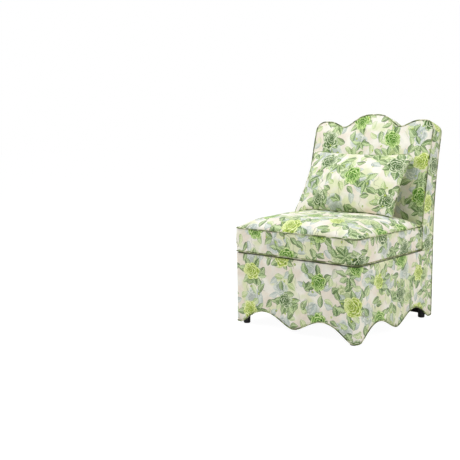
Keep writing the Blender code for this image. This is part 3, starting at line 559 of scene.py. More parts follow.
class Finishes:
    """Makes each slot's material once, and the cords' two: one with painted seam shade, and a lighter copy with
    painted light for the pillow's cord.
    """

    def __init__(self) -> None:
        """Make them all."""
        self.made = {slot.name: slot.value.make() for slot in Slot}
        # the usual cord cloth, with painted seam shade in its colours
        self.piping = ShadedCordCotton("piping_cotton").make()
        # a lighter copy of the same cord cloth: painted light, so the pillow's cord reads as a lit rim
        pale = tone(226, 222, 198), tone(150, 168, 112), tone(86, 104, 58)
        self.lit_pillow_piping = ShadedCordCotton("pale_piping_cotton", *pale).make()

    def dress_nodes(self, frame: dict) -> None:
        """Give every CAD node its slot's finish.
        """
        slots = {part["node"]: part["material_slot"] for part in frame["record"]["subparts"]}
        for name, node in frame["nodes"].items():
            node.data.materials.clear()
            node.data.materials.append(self.made[slots[name]])


# Shapes
@dataclass(frozen=True)
class ChairShape:
    """Outlines of the chair, as the CAD has them."""

    half_width: float = 0.310
    half_depth: float = 0.318
    base_top: float = 0.318
    cord: float = 0.0025
    seam: float = 0.0025
    back_depth: float = 0.103
    crest: tuple[float, float, float, float] = (0.922, 0.866, 0.893, 0.850)
    crest_place: Pair = (0.150, 0.262)
    crest_fullness: float = 1.6
    rear_drop: float = 0.020
    seat_edge: float = 0.429
    recline: Triple = (0.460, 0.092, 0.070)
    recline_share: Pair = (1.45, 1.74)
    back_crown: float = 0.012
    crown_start_share: float = 0.35
    seat_half: float = 0.314
    seat_front: float = -0.3235
    seat_rear: float = 0.2092
    seat_crown: float = 0.053
    seat_sewn: float = 0.00325
    rear_hem: float = 0.013
    hem_arch: float = 0.0755
    hem_drops: Pair = (0.022, 0.012)
    hem_shares: Pair = (0.484, 0.92)
    hem_fullness: Pair = (0.85, 0.70)

    def rise(self, height: Array) -> Array:
        """Share of the recline reached at heights."""
        return np.clip((height - self.seat_edge) / self.recline[0], 0, None)

    def front(self, height: Array) -> Array:
        """Depth of the inside back's edge: upright, then leaning back by a power of the rise."""
        lean = self.recline[1] * self.rise(height) ** self.recline_share[0]
        return self.half_depth - self.back_depth + lean

    def rear(self, height: Array) -> Array:
        """Depth of the outside back, leaning back in the same way."""
        return self.half_depth + self.recline[2] * self.rise(height) ** self.recline_share[1]

    def shift(self) -> float:
        """Shift in depth from these outlines to the frame, which is centred on the origin."""
        high = float(self.rear(np.array(self.crest[0] - self.rear_drop)))
        return -(self.seat_front - self.cord + high + self.cord) / 2

    def crest_line(self, x: Array) -> Array:
        """Height of the scalloped top: a cosine hump and two ears, with round shoulders.

        Args: x: places across.
        Returns: the heights.
        """
        out = np.abs(x)
        hump, valley, ear, shoulder = self.crest
        inner, outer = self.crest_place
        turn = np.clip((out - outer) / (self.half_width - outer), 0, 1)
        parts = (out / inner, hump), ((outer - out) / (outer - inner), ear)
        waves = [valley + (top - valley) * swing(part, self.crest_fullness) for part, top in parts]
        return np.select([out <= inner, out <= outer], waves,
                         shoulder + (ear - shoulder) * np.sqrt(1 - turn ** 2))

    def drop(self, height: Array) -> Array:
        """How far the rear outline lies below the front one at heights."""
        return self.rear_drop * np.clip((height - self.base_top) / (self.crest[3] - self.base_top), 0, 1)

    def outline(self, bottom: float, step: float = 0.004) -> Array:
        """Outline of the back, up the left side, over the top and down the right, at even steps.

        Args: bottom: its lower end. step: between points.
        Returns: places across and heights.
        """
        turn = np.sin(np.linspace(0, QUARTER, 40))
        ear = self.crest_place[1]
        right = np.concatenate([np.linspace(0, ear, 260)[:-1], ear + (self.half_width - ear) * turn])
        across = np.concatenate([-right[:0:-1], right])
        crest = np.column_stack([across, self.crest_line(across)])
        feet = [[-self.half_width, bottom]], [[self.half_width, bottom]]
        return resampled(np.concatenate([feet[0], crest, feet[1]]), step)

    def inside_back(self, x: Array, z: Array) -> Array:
        """Crown of the inside back before its edge: stuffed both ways, and starting smoothly over the seat.

        Args: x, z: places across and heights.
        Returns: the crown.
        """
        reach = np.clip((z - self.seat_edge) / (self.crest_line(x) - self.seat_edge), 0, 1)
        start = np.clip(reach / self.crown_start_share, 0, 1)
        start = start * start * (3 - 2 * start)
        return self.back_crown * pad(x / self.half_width) * start * pad(reach)

    def seat_top(self, x: Array, y: Array) -> Array:
        """Crown of the seat over its edge: steep sides and a flat middle, both ways.

        Args: x, y: plan points.
        Returns: the crown.
        """
        middle, reach = (self.seat_front + self.seat_rear) / 2, (self.seat_rear - self.seat_front) / 2
        across, along = x / (self.seat_half - self.seat_sewn), (y - middle) / (reach - self.seat_sewn)
        return self.seat_crown * pad(across, 4.5, 0.60) * pad(along, 4.5, 0.60)

    def hem(self, share: Array) -> Array:
        """Height of the scalloped hem: cosine swings from the middle to the arch and on to the corner.

        Args: share: places as shares of a half face.
        Returns: the heights.
        """
        out = np.abs(share)
        arch, corner = self.hem_shares
        parts = out / arch, (corner - out) / (corner - arch)
        heights = [low + (self.hem_arch - low) * (1 - swing(part, fullness))
                   for part, low, fullness in zip(parts, self.hem_drops, self.hem_fullness)]
        return np.where(out <= arch, *heights)


SHAPE = ChairShape()


def swing(share: Array, fullness: float) -> Array:
    """Half a cosine wave: 1 at share 0, 0 at share 1."""
    return (1 + np.cos(math.pi * np.clip(share, 0, 1) ** fullness)) / 2


def pad(share: Array, edge: float = 2.6, fullness: float = 0.75) -> Array:
    """Crown of a stuffed panel: 1 in the middle, 0 at shares -1 and 1, flat and steep by two powers."""
    return (1 - np.abs(np.clip(share, -1, 1)) ** edge) ** fullness


def rolled(distance: Array, reach: float = 0.005) -> Array:
    """A quarter round up from a seam: 0 at the seam, 1 from the reach on."""
    return np.sqrt(1 - np.clip(1 - distance / reach, 0, 1) ** 2)


def rings(loop: Array, centre: Array, shares: Array) -> Array:
    """Grid of rings between a middle point and a loop, at shares of the way out."""
    return centre + (loop - centre) * shares[:, None, None]


def quads(index: Array) -> Array:
    """Corners of the faces between the points of a grid of point numbers."""
    return np.stack([index[:-1, :-1], index[1:, :-1], index[1:, 1:], index[:-1, 1:]], -1).reshape(-1, 4)


def numbered(shape: tuple[int, ...]) -> Array:
    """Point numbers of a grid, row by row."""
    return np.arange(shape[0] * shape[1]).reshape(shape[:2])


def paired(first: Array, second: Array) -> Array:
    """Join two arrays, made alike in shape, into flat points."""
    return np.stack(np.broadcast_arrays(first, second), -1)


def raised(plan: Array, height: float) -> Array:
    """Plan points at a height."""
    return np.insert(plan, 2, height, axis=-1)


def lengths(points: Array) -> Array:
    """Distance along a path at each of its points."""
    return np.concatenate([[0], np.cumsum(np.linalg.norm(np.diff(points, axis=0), axis=1))])


def resampled(points: Array, step: float) -> Array:
    """A path at even steps.

    Args: points: the path. step: about how far apart.
    Returns: the new path, with the same ends.
    """
    along = lengths(points)
    even = np.linspace(0, along[-1], max(8, round(along[-1] / step)) + 1)
    return np.column_stack([np.interp(even, along, points[:, k]) for k in range(points.shape[1])])


def headings(path: Array, closed: bool) -> Array:
    """Unit directions along a path.

    Args: path: the points. closed: whether its last point is its first.
    Returns: the directions.
    """
    along = np.gradient(path, axis=0)
    if closed:
        along[0] = along[-1] = path[1] - path[-2]
    return along / np.linalg.norm(along, axis=1)[:, None]


def outward(path: Array, closed: bool) -> Array:
    """Unit normals on the left of a flat path."""
    return headings(path, closed)[:, ::-1] * [-1, 1]


def edge_distance(flat: Array, loop: Array, near: int = 16) -> Array:
    """Distance of flat rings' points from the outer loop, among the stretches beside each point's ray.

    Args: flat: the rings. loop: the outermost, the last point the first. near: stretches to each side.
    Returns: the distances.
    """
    found, own = np.full(flat.shape[:-1], np.inf), np.arange(flat.shape[1])
    for offset in range(-near, near):
        place = (own + offset) % (len(loop) - 1)
        start, way = loop[place], loop[place + 1] - loop[place]
        share = np.clip(((flat - start) * way).sum(-1) / (way ** 2).sum(-1), 0, 1)
        found = np.minimum(found, np.linalg.norm(flat - start - share[..., None] * way, axis=-1))
    return found


# Soft cloth
class SoftRelief:
    """Gentle unevenness of stuffed cloth: a seeded sum of long waves, with puckers at the seams."""

    waves = 14
    pucker, pucker_spacing, pucker_reach = 0.00035, 0.016, 0.010
    calm, pucker_start = 0.03, 0.003

    def __init__(self, seed: int, wave: float = 0.11, height: float = 0.0007) -> None:
        """Choose the waves.

        Args: seed: of the chance. wave: about their length. height: about their size.
        """
        luck = np.random.default_rng(seed)
        angle = luck.uniform(0, TURN, self.waves)
        size = TURN / (wave * luck.uniform(0.6, 1.9, self.waves))
        self.ways = np.column_stack([np.cos(angle), np.sin(angle)]) * size[:, None]
        self.phases = luck.uniform(0, TURN, self.waves)
        self.height = height / 2.6

    def at(self, cloth: Array, distance: Array) -> Array:
        """Relief at points of the cloth.

        Args: cloth: places on the cloth. distance: from the nearest seam.
        Returns: the relief.
        """
        waves = np.sin(cloth @ self.ways.T + self.phases).sum(-1) * self.height
        run = cloth[..., 0] + cloth[..., 1]
        pucker = np.sin(run * TURN / self.pucker_spacing + 3 * np.sin(run * 9.0)) * self.pucker
        fading = np.exp(-distance / self.pucker_reach) * np.clip(distance / self.pucker_start, 0, 1)
        return waves * np.clip(distance / self.calm, 0, 1) + pucker * fading


def stuffed(points: Array, faces: Array, held: Array, pressure: float, slack: float,
            frames: int = 20) -> Array:
    """Let cloth swell by Blender's cloth simulation.

    Args: points, faces: its mesh. held: numbers of the points that stay. pressure: inside. slack: share of
        spare cloth. frames: of the simulation.
    Returns: its points at the end.
    """
    data = bpy.data.meshes.new("swelling_cloth")
    data.from_pydata(points.tolist(), [], faces.tolist())
    made = bpy.data.objects.new("swelling_cloth", data)
    bpy.context.scene.collection.objects.link(made)
    made.vertex_groups.new(name="held").add(held.tolist(), 1.0, "REPLACE")
    cloth = made.modifiers.new("cloth", "CLOTH")
    settings = cloth.settings
    settings.use_pressure, settings.uniform_pressure_force = True, pressure
    settings.effector_weights.gravity = 0
    settings.shrink_min = -slack
    settings.bending_stiffness = 0.3
    if len(held):
        settings.vertex_group_mass = "held"
    cloth.collision_settings.use_collision = False
    for frame in range(1, frames + 1):
        bpy.context.scene.frame_set(frame)
    shown = made.evaluated_get(bpy.context.evaluated_depsgraph_get()).data
    end = np.empty(len(points) * 3)
    shown.vertices.foreach_get("co", end)
    bpy.context.scene.frame_set(1)
    bpy.data.objects.remove(made)
    bpy.data.meshes.remove(data)
    return end.reshape(-1, 3)


class Swelling:
    """How a stuffed panel's cloth swells: simulated once on an even grid, and scaled to a reach."""

    cell, slack, pressure, reach = 0.0075, 0.014, 0.12, 0.004

    def __init__(self, name: str, spans: tuple[Pair, Pair], crown: Callable, room: Callable) -> None:
        """Args: name: of the panel. spans: its two sides. crown, room: its height and the distance from its
            seam, at points.
        """
        self.axes = [np.linspace(low, high, round((high - low) / self.cell) + 1) for low, high in spans]
        a, b = np.meshgrid(*self.axes, indexing="ij")
        self.moved = np.zeros_like(a)
        start = np.stack([a, b, crown(a, b)], -1).reshape(-1, 3)
        held = np.flatnonzero(room(a, b).ravel() < self.cell * 0.6)
        end = stuffed(start, quads(numbered(a.shape)), held, self.pressure, self.slack)
        rise = (end - start)[:, 2].reshape(a.shape)
        LOG.info("%s cloth moved %.1f to %.1f mm, scaled to %.1f", name, rise.min() * 1000, rise.max() * 1000,
                 self.reach * 1000)
        self.moved = rise * self.reach / max(self.reach, np.abs(rise).max())

    def at(self, a: Array, b: Array) -> Array:
        """Rise at points of the panel, by cubic weights between the grid's points.

        Args: a, b: the points.
        Returns: the rise.
        """
        near, weights = [], []
        for value, axis in zip((a, b), self.axes):
            place = np.clip((value - axis[0]) / (axis[1] - axis[0]), 0, len(axis) - 1.001)
            start = place.astype(int)
            t = place - start
            near.append([np.clip(start + step, 0, len(axis) - 1) for step in (-1, 0, 1, 2)])
            weights.append(((1 - t) ** 3 / 6, (3 * t ** 3 - 6 * t ** 2 + 4) / 6,
                            (-3 * t ** 3 + 3 * t ** 2 + 3 * t + 1) / 6, t ** 3 / 6))
        return sum(self.moved[near[0][i], near[1][j]] * weights[0][i] * weights[1][j]
                   for i in range(4) for j in range(4))


# Making pieces
class Workshop:
    """Turns grids into pieces of the scene."""

    weld: float = 0.00002
    cloth_thickness: float = 0.0011
    cord_step: float = 0.003
    cord_sides: int = 12
    cord_bias: float = 0.7

    def __init__(self, finishes: Finishes) -> None:
        """Keep the finishes, and a list of what is made."""
        self.finishes = finishes
        self.made: list[bpy.types.Object] = []

    def piece(self, name: str, patches: list[Patch], material: bpy.types.Material, body: str,
              middle: Triple) -> bpy.types.Object:
        """Make a mesh piece from grids whose borders meet.

        Args: name. patches: points and cloth places, as grids. material. body: it rides on. middle: a point
            that its faces look away from.
        Returns: the piece.
        """
        points, faces, cloth, start = [], [], [], 0
        for grid, places in patches:
            corners = quads(numbered(grid.shape))
            points.append(grid.reshape(-1, 3))
            faces.append(corners + start)
            cloth.append(places.reshape(-1, 2)[corners].reshape(-1, 2))
            start += len(points[-1])
        points = np.concatenate(points) + [0, SHAPE.shift(), 0]
        data = bpy.data.meshes.new(name)
        data.from_pydata(points.tolist(), [], np.concatenate(faces).tolist())
        layer = data.uv_layers.new(name="Cloth")
        layer.data.foreach_set("uv", np.concatenate(cloth).astype(np.float32).ravel())
        bm = bmesh.new()
        bm.from_mesh(data)
        bmesh.ops.remove_doubles(bm, verts=bm.verts, dist=self.weld)
        bmesh.ops.recalc_face_normals(bm, faces=bm.faces)
        centre = Vector(middle) + Vector((0, SHAPE.shift(), 0))
        turned = sum(f.normal.dot(f.calc_center_median() - centre) * f.calc_area() for f in bm.faces)
        if turned < 0:
            bmesh.ops.reverse_faces(bm, faces=bm.faces)
        bm.to_mesh(data)
        bm.free()
        data.shade_smooth()
        data.materials.append(material)
        made = bpy.data.objects.new(name, data)
        bpy.context.scene.collection.objects.link(made)
        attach(made, body)
        self.made.append(made)
        return made

    def cushion(self, name: str, patches: list[Patch], body: str, middle: Triple,
                nodes: list[str]) -> None:
        """Args: name. patches: its grids. body: it rides on. middle: a point that it looks away from. nodes: it
        stands for.
        """
        made = self.piece(name, patches, self.finishes.made["print_cloth"], body, middle)
        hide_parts(*nodes)

    def cloth_sheet(self, name: str, patch: Patch, node: str,
                    middle: Triple = (0.0, 0.0, 0.4)) -> None:
        """Args: name. patch: its outer face. node: it stands for. middle: a point that it looks away from.
        """
        made = self.piece(name, [patch], self.finishes.made["print_cloth"], "chair_frame", middle)
        wall = made.modifiers.new("cloth", "SOLIDIFY")
        wall.thickness, wall.offset = self.cloth_thickness, -1
        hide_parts(node)

    def piping(self, name: str, path: Array, closed: bool, body: str, up: Triple,
               node: str, cover: Optional[bpy.types.Material] = None) -> None:
        """Make a cloth-covered cord: a circle carried along a path, with domed ends where it is open.

        Args: name. path: its middle line. closed: whether it joins itself. body: it rides on. up: the way
            that its section starts from. node: it stands for. cover: its cloth, if not the usual.
        """
        radius = SHAPE.cord
        line = resampled(np.concatenate([path, path[:1]]) if closed else path, self.cord_step)
        middle = tuple(line.mean(0))
        LOG.info("%s: %.3f m of cord", name, lengths(line)[-1])
        along = headings(line, closed)
        side = np.cross(along, np.array(up, float))
        side /= np.linalg.norm(side, axis=1)[:, None]
        over, sizes = np.cross(side, along), np.full(len(line), radius)
        if not closed:
            dome = np.linspace(0, QUARTER, 5)[:-1]
            reach, small = radius * np.cos(dome)[:, None], radius * np.sin(dome)
            line = np.concatenate([line[0] - along[0] * reach, line, line[-1] + along[-1] * reach[::-1]])
            sizes = np.concatenate([small, sizes, small[::-1]])
            side, over = (np.pad(way, ((len(dome), len(dome)), (0, 0)), "edge") for way in (side, over))
        angle = np.linspace(0, TURN, self.cord_sides + 1)
        ring = np.cos(angle)[None, :, None] * side[:, None] + np.sin(angle)[None, :, None] * over[:, None]
        run, about = lengths(line)[:, None] * self.cord_bias, angle * radius * self.cord_bias
        patch = line[:, None] + ring * sizes[:, None, None], paired(run + about, run - about)
        made = self.piece(name, [patch], cover or self.finishes.piping, body, middle)
        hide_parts(node)


# Base
@dataclass
class Base:
    """The scalloped skirt round the front and both sides, with its hem piping."""

    stand: float = 0.0008
    tuck: float = 0.0016
    hem_tuck: float = 0.0012
    fold: Pair = (0.0018, 0.0022)
    turn_in: float = 0.0085
    turn_in_ends: float = 0.190
    round_over: float = 0.004
    relief: Triple = (0.16, 0.0006, 0.0005)
    corner: float = 0.010
    rear_gap: float = 0.0028
    step: float = 0.0035
    rows: int = 54
    flat: Pair = (1.92, 0.34)
    cloth_place: Pair = (0.05, 0.02)
    fold_cloth: float = 0.002

    def plan(self) -> Array:
        """Plan line round the base, from the rear left to the rear right, with quarter rounds at its corners.

        Returns: plan points and hem heights.
        """
        w, d, r = SHAPE.half_width, SHAPE.half_depth, self.corner
        turn = np.linspace(0, QUARTER, 9)
        left = np.column_stack([r - w - r * np.cos(turn), r - d - r * np.sin(turn)])
        rear = d - self.rear_gap
        line = resampled(np.concatenate([[[-w, rear]], left, left[::-1] * [-1, 1], [[w, rear]]]), self.step)
        share = np.where(np.abs(line[:, 1] + d) < r * 0.7, line[:, 0] / w, line[:, 1] / d)
        return np.column_stack([line, SHAPE.hem(share)])

    def build(self, shop: Workshop) -> None:
        """Make the skirt, upright from hem to top with a fold turned in over the boards, and its piping.

        Args: shop: where pieces are made.
        """
        line = self.plan()
        plan, run = line[:, :2], lengths(line[:, :2])
        normal, end = -outward(plan, False), np.minimum(run, run[-1] - run)
        bottom = line[:, 2] + self.tuck * np.sqrt(1 + np.gradient(line[:, 2], run) ** 2)
        top = SHAPE.base_top - self.tuck
        height = bottom[:, None] + (top - bottom)[:, None] * np.linspace(0, 1, self.rows)
        above = height - bottom[:, None]
        cloth = paired(run[:, None], height) + self.cloth_place
        wave, size, lift = self.relief
        relief = SoftRelief(4, wave, size).at(cloth, np.minimum(above, end[:, None])) + lift
        ends, low = rolled(end, self.round_over)[:, None], rolled(above, self.round_over)
        out = (self.stand + np.clip(relief, 0, self.tuck)) * ends * low
        out = out - self.tuck * (1 - ends) - self.hem_tuck * (1 - low)
        grid = np.concatenate([plan[:, None] + normal[:, None] * out[..., None], height[..., None]], -1)
        turn = np.linspace(0, QUARTER, 5)[1:]
        depth, high = self.fold
        fold_out = np.broadcast_to(self.stand + lift - depth * (1 - np.cos(turn)), (len(line), 4))
        reach = self.turn_in * np.clip((self.turn_in_ends - line[:, 1]) / 0.01, 0, 1) + self.tuck
        fold_out = np.column_stack([fold_out, -reach])
        fold_high = np.broadcast_to(top + high * np.sin([*turn, QUARTER]), fold_out.shape)
        fold_plan = plan[:, None] + normal[:, None] * fold_out[..., None]
        fold = np.concatenate([fold_plan, fold_high[..., None]], -1)
        fold_cloth = paired(run[:, None], top + self.fold_cloth * np.arange(1, 6)) + self.cloth_place
        patch = np.concatenate([grid, fold], 1), np.concatenate([cloth, fold_cloth], 1)
        shop.cloth_sheet("base_skirt", patch, "base_cover")
        shop.piping("skirt_hem_cord", line, False, "chair_frame", (0, 0, 1), "base_hem_piping")


# Back
@dataclass
class Back:
    """The padded inside back, its boxing band, the outside back panel and both pipings."""

    bulge: float = 0.0015
    pad_inset: float = 0.0040
    rear_gap: float = 0.04995
    foot_gap: float = 0.0004
    cord_foot: float = 0.0028
    swelling_top: float = 0.93
    swelling_calm: float = 0.02
    pad_middle: float = 0.62
    panel_middle: float = 0.46
    round_over: float = 0.004
    band_limits: Pair = (-0.0004, 0.0012)
    panel_limits: Pair = (0.0, 0.0016)
    band_flat: Pair = (1.92, 0.112)
    panel_flat: Pair = (0.66, 0.96)
    pad_cloth: Pair = (0.83, 0.21)
    panel_cloth: Pair = (0.37, 0.65)
    back_shares: tuple[Pair, ...] = ((0.04, 1.0), (0.5, 1.0), (1.0, 1.0), (1.0, 0.6), (1.0, 0.25), (1.0, 0.0))
    floor_points: int = 149
    swelling: Optional[Swelling] = None

    def room(self, x: Array, z: Array) -> Array:
        """Distance of points from the back's nearest side or its crest, below 0 outside."""
        return np.minimum(SHAPE.half_width - np.abs(x), SHAPE.crest_line(x) - z)

    def cloth(self, x: Array, z: Array) -> Array:
        """Places on the inside back's cloth, a little longer than the panel is high."""
        return np.stack([x, z * 1.03], -1) + self.pad_cloth

    def face(self, x: Array, z: Array, distance: Array) -> Array:
        """Depth of the inside back's face: its edge less crown, relief and swelling, rolled in at the seam.

        Args: x, z: places across and heights. distance: from the seam.
        Returns: the depths.
        """
        crown = SHAPE.inside_back(x, z) + SoftRelief(11).at(self.cloth(x, z), distance)
        crown = crown + self.swelling.at(x, z) * np.clip(distance / self.swelling_calm, 0, 1)
        return SHAPE.front(z) + SHAPE.seam - (crown + SHAPE.seam) * rolled(distance)

    def build(self, shop: Workshop) -> None:
        """Make all the back's pieces.

        Args: shop: where pieces are made.
        """
        self.build_pad(shop)
        self.build_band(shop)
        self.build_outside(shop)

    def loop(self, line: Array, inset: float, lift: float = 0.0) -> Array:
        """Close the back's outline along its foot, and move it inwards.

        Args: line: the outline. inset: how far inwards. lift: of the foot.
        Returns: the loop, its last point the first.
        """
        across = np.linspace(SHAPE.half_width, -SHAPE.half_width, self.floor_points + 1)[1:]
        foot = paired(across * (1 - inset / SHAPE.half_width), line[0, 1] + lift)
        loop = np.concatenate([line - outward(line, False) * inset, foot])
        loop[-1] = loop[0]
        return loop

    def build_pad(self, shop: Workshop) -> None:
        """Make the inside back: crowned front, grooved rim and flat rear.

        Args: shop: where pieces are made.
        """
        bottom = SHAPE.base_top + self.foot_gap
        line = SHAPE.outline(bottom)
        loop, rim = self.loop(line, SHAPE.seam), self.loop(line, self.pad_inset, 0.0002)
        centre = np.array([0.0, self.pad_middle])
        shares = np.sin((1 - (1 - np.linspace(0, 1, 56)) ** 1.5) * QUARTER) ** 0.8
        flat = rings(loop, centre, shares)
        x, z = flat[..., 0], flat[..., 1]
        spans = (-SHAPE.half_width, SHAPE.half_width), (bottom, self.swelling_top)
        self.swelling = Swelling("inside back", spans, SHAPE.inside_back, self.room)
        face = np.stack([x, self.face(x, z, edge_distance(flat, loop)), z], -1)
        back = []
        for share, inset_share in self.back_shares:
            ring = centre + (rim - centre) * inset_share
            high = ring[:, 1]
            deep = SHAPE.rear(high) - SHAPE.front(high)
            low = high - (deep - self.rear_gap) / deep * share * SHAPE.drop(high)
            start, end = SHAPE.front(low) + SHAPE.seam, SHAPE.rear(low) - self.rear_gap
            back.append(np.column_stack([ring[:, 0], start + (end - start) * share, low]))
        back = np.stack(back)
        places = np.concatenate([self.cloth(x, z), back[..., ::2] + self.pad_cloth])
        shop.cushion("inside_back_pad", [(np.concatenate([face, back]), places)], "chair_frame",
                     (0, 0.24, self.pad_middle), ["inside_back_cover", "back_foam"])
        edge = SHAPE.outline(SHAPE.base_top + self.cord_foot)
        path = np.column_stack([edge[:, 0], SHAPE.front(edge[:, 1]), edge[:, 1]])
        shop.piping("inside_back_cord", path, False, "chair_frame", (0, 1, 0), "inside_back_piping")

    def build_band(self, shop: Workshop) -> None:
        """Make the boxing band between the two back pipings, bulging a little and rolled in at both.

        Args: shop: where pieces are made.
        """
        line = SHAPE.outline(SHAPE.base_top + self.foot_gap)
        x, high = line.T
        low = high - SHAPE.drop(high)
        front = np.column_stack([x, SHAPE.front(high), high])
        rear = np.column_stack([x, SHAPE.rear(low), low])
        wide = np.linalg.norm(rear - front, axis=1)[:, None]
        share = (1 - np.cos(np.linspace(0, math.pi, 26))) / 2
        across = SHAPE.seam + (wide - 2 * SHAPE.seam) * share
        run = lengths(line)
        up = np.minimum(run, run[-1] - run)[:, None]
        cloth = paired(across + np.where(run < run[-1] / 2, 0.4, 0.9)[:, None], up + 0.13)
        distance = np.maximum(np.minimum(across, wide - across) - SHAPE.seam, 0)
        relief = np.clip(SoftRelief(23, 0.12, 0.0005).at(cloth, distance) + 0.0003, *self.band_limits)
        foot = rolled(up, self.round_over)
        out = (self.bulge * np.sin(math.pi * share) + relief) * foot
        out = out + SHAPE.seam * (rolled(distance) * foot - 1) + 0.0004
        normal = np.insert(outward(line, False), 1, 0, axis=1)
        grid = front[:, None] + ((rear - front) / wide)[:, None] * across[..., None]
        grid = grid + normal[:, None] * out[..., None]
        shop.cloth_sheet("back_boxing", (grid, cloth), "back_band",
                         (0, 0.27, 0.6))

    def build_outside(self, shop: Workshop) -> None:
        """Make the outside back panel, down to the rear hem, and the piping round it.

        Args: shop: where pieces are made.
        """
        line = SHAPE.outline(SHAPE.base_top)
        line[:, 1] -= SHAPE.drop(line[:, 1])
        half, hem = SHAPE.half_width, SHAPE.rear_hem
        side = np.linspace(SHAPE.base_top, hem, 77)[1:]
        floor = np.linspace(1, -1, self.floor_points + 1)[1:] * half
        path = np.concatenate([line, paired(half, side), paired(floor, hem), paired(-half, side[::-1])])
        path[-1] = path[0]
        loop = path - outward(path, True) * SHAPE.seam
        loop[-1] = loop[0]
        shares = np.sin(np.linspace(0, QUARTER, 56)) ** 0.9
        flat = rings(loop, np.array([0.0, self.panel_middle]), shares)
        distance = edge_distance(flat, loop)
        x, z = flat[..., 0], flat[..., 1]
        cloth = np.stack([-x, z * 1.02], -1) + self.panel_cloth
        relief = np.clip(SoftRelief(31, 0.15, 0.0006).at(cloth, distance) + 0.0006, *self.panel_limits)
        depth = SHAPE.rear(z) - SHAPE.seam + (relief + SHAPE.seam) * rolled(distance)
        shop.cloth_sheet("outside_back_panel", (np.stack([x, depth, z], -1), cloth), "outside_back_cover",
                         (0, 0.1, 0.45))
        cord = np.column_stack([path[:-1, 0], SHAPE.rear(path[:-1, 1]), path[:-1, 1]])
        shop.piping("outside_back_cord", cord, True, "chair_frame", (0, 1, 0), "outside_back_piping")


# Seat
@dataclass
class Seat:
    """The lift-off seat: crowned top, boxing band and a cavity for its board, with two pipings."""

    bulge: float = 0.0015
    low_cord: float = 0.3261
    board_top: float = 0.3389
    band_rows: int = 26
    front_corner: float = 0.020
    rear_corner: float = 0.006
    step: float = 0.004
    calm: float = 0.02
    under_inset: float = 0.0030
    under_lift: float = 0.0002
    top_cloth: Pair = (1.31, 0.47)
    band_cloth: Pair = (0.17, 1.21)
    under_shares: tuple[float, ...] = (0.7, 0.35, 0.0)
    swelling: Optional[Swelling] = None

    def room(self, x: Array, y: Array) -> Array:
        """Distance of plan points from the seat's nearest side, below 0 outside."""
        return np.minimum(SHAPE.seat_half - np.abs(x), np.minimum(SHAPE.seat_rear - y, y - SHAPE.seat_front))

    def top(self, x: Array, y: Array, distance: Array) -> Array:
        """Height of the seat's top: its edge and crown, relief and swelling, rolled down at the seam.

        Args: x, y: plan points. distance: from the seam.
        Returns: the heights.
        """
        cloth = np.stack([x, y], -1) + self.top_cloth
        crown = SHAPE.seat_top(x, y) + SoftRelief(7, 0.13, 0.0010).at(cloth, distance)
        crown = crown + self.swelling.at(x, y) * np.clip(distance / self.calm, 0, 1)
        return SHAPE.seat_edge - SHAPE.seam + (crown + SHAPE.seam) * rolled(distance)

    def plan(self) -> Array:
        """Closed plan line from the middle of the rear, round by the left side, with quarter-round corners.

        Returns: the points.
        """
        w, low, high = SHAPE.seat_half, SHAPE.seat_front, SHAPE.seat_rear
        front, rear = self.front_corner, self.rear_corner
        parts = [[[0, high]]]
        for cx, cy, r, quarter in ((rear - w, high - rear, rear, 1), (front - w, low + front, front, 2),
                                   (w - front, low + front, front, 3), (w - rear, high - rear, rear, 4)):
            angle = np.linspace(0, QUARTER, 12) + quarter * QUARTER
            parts.append(np.column_stack([cx + r * np.cos(angle), cy + r * np.sin(angle)]))
        return resampled(np.concatenate([*parts, [[0, high]]]), self.step)

    def build(self, shop: Workshop) -> None:
        """Make the cushion and its pipings.

        Args: shop: where pieces are made.
        """
        line = self.plan()
        normal = -outward(line, True)
        loop = line - normal * SHAPE.seam
        centre = np.array([0.0, (SHAPE.seat_front + SHAPE.seat_rear) / 2])
        flat = rings(loop, centre, np.sin(np.linspace(0, QUARTER, 60)) ** 0.85)
        x, y = flat[..., 0], flat[..., 1]
        spans = (-SHAPE.seat_half, SHAPE.seat_half), (SHAPE.seat_front, SHAPE.seat_rear)
        self.swelling = Swelling("seat", spans, SHAPE.seat_top, self.room)
        top = np.stack([x, y, self.top(x, y, edge_distance(flat, loop))], -1)
        band, band_cloth = self.band(line, normal)
        inset = line - normal * self.under_inset
        under = [raised(inset, self.low_cord + SHAPE.seam + self.under_lift), raised(inset, self.board_top)]
        under += [raised(centre + (inset - centre) * share, self.board_top) for share in self.under_shares]
        under = np.concatenate([band[-1:], np.stack(under)])
        under_cloth = np.concatenate([band_cloth[-1:], under[1:, :, :2]])
        patches = [(top, flat + self.top_cloth), (band, band_cloth), (under, under_cloth)]
        shop.cushion("seat_cushion", patches, "seat", (0, -0.05, 0.38),
                     ["seat_foam", "seat_top_cover", "seat_band"])
        for name, height in (("upper", SHAPE.seat_edge), ("lower", self.low_cord)):
            shop.piping(f"seat_{name}_cord", raised(line[:-1], height), True, "seat", (0, 0, 1),
                        f"seat_{name}_piping")

    def band(self, line: Array, normal: Array) -> Patch:
        """Boxing band between the pipings, bulging a little on its open sides and rolled in at both cords.

        Args: line, normal: plan line and its directions outwards.
        Returns: its points and its places on the cloth.
        """
        high, low = SHAPE.seat_edge - SHAPE.seam, self.low_cord + SHAPE.seam
        share = (1 - np.cos(np.linspace(0, math.pi, self.band_rows)))[:, None] / 2
        height = high + (low - high) * share
        cloth = paired(lengths(line), height) + self.band_cloth
        room = np.broadcast_to(np.minimum(high - height, height - low), cloth.shape[:2])
        relief = SoftRelief(13, 0.12, 0.0006).at(cloth, room)
        open_side = np.clip((SHAPE.seat_rear - self.calm - line[:, 1]) / self.calm, 0, 1)
        out = (self.bulge * np.sin(math.pi * share) + relief) * open_side + SHAPE.seam * (rolled(room) - 1)
        heights = np.broadcast_to(height[..., None], (*out.shape, 1))
        return np.concatenate([line + normal * out[..., None], heights], -1), cloth


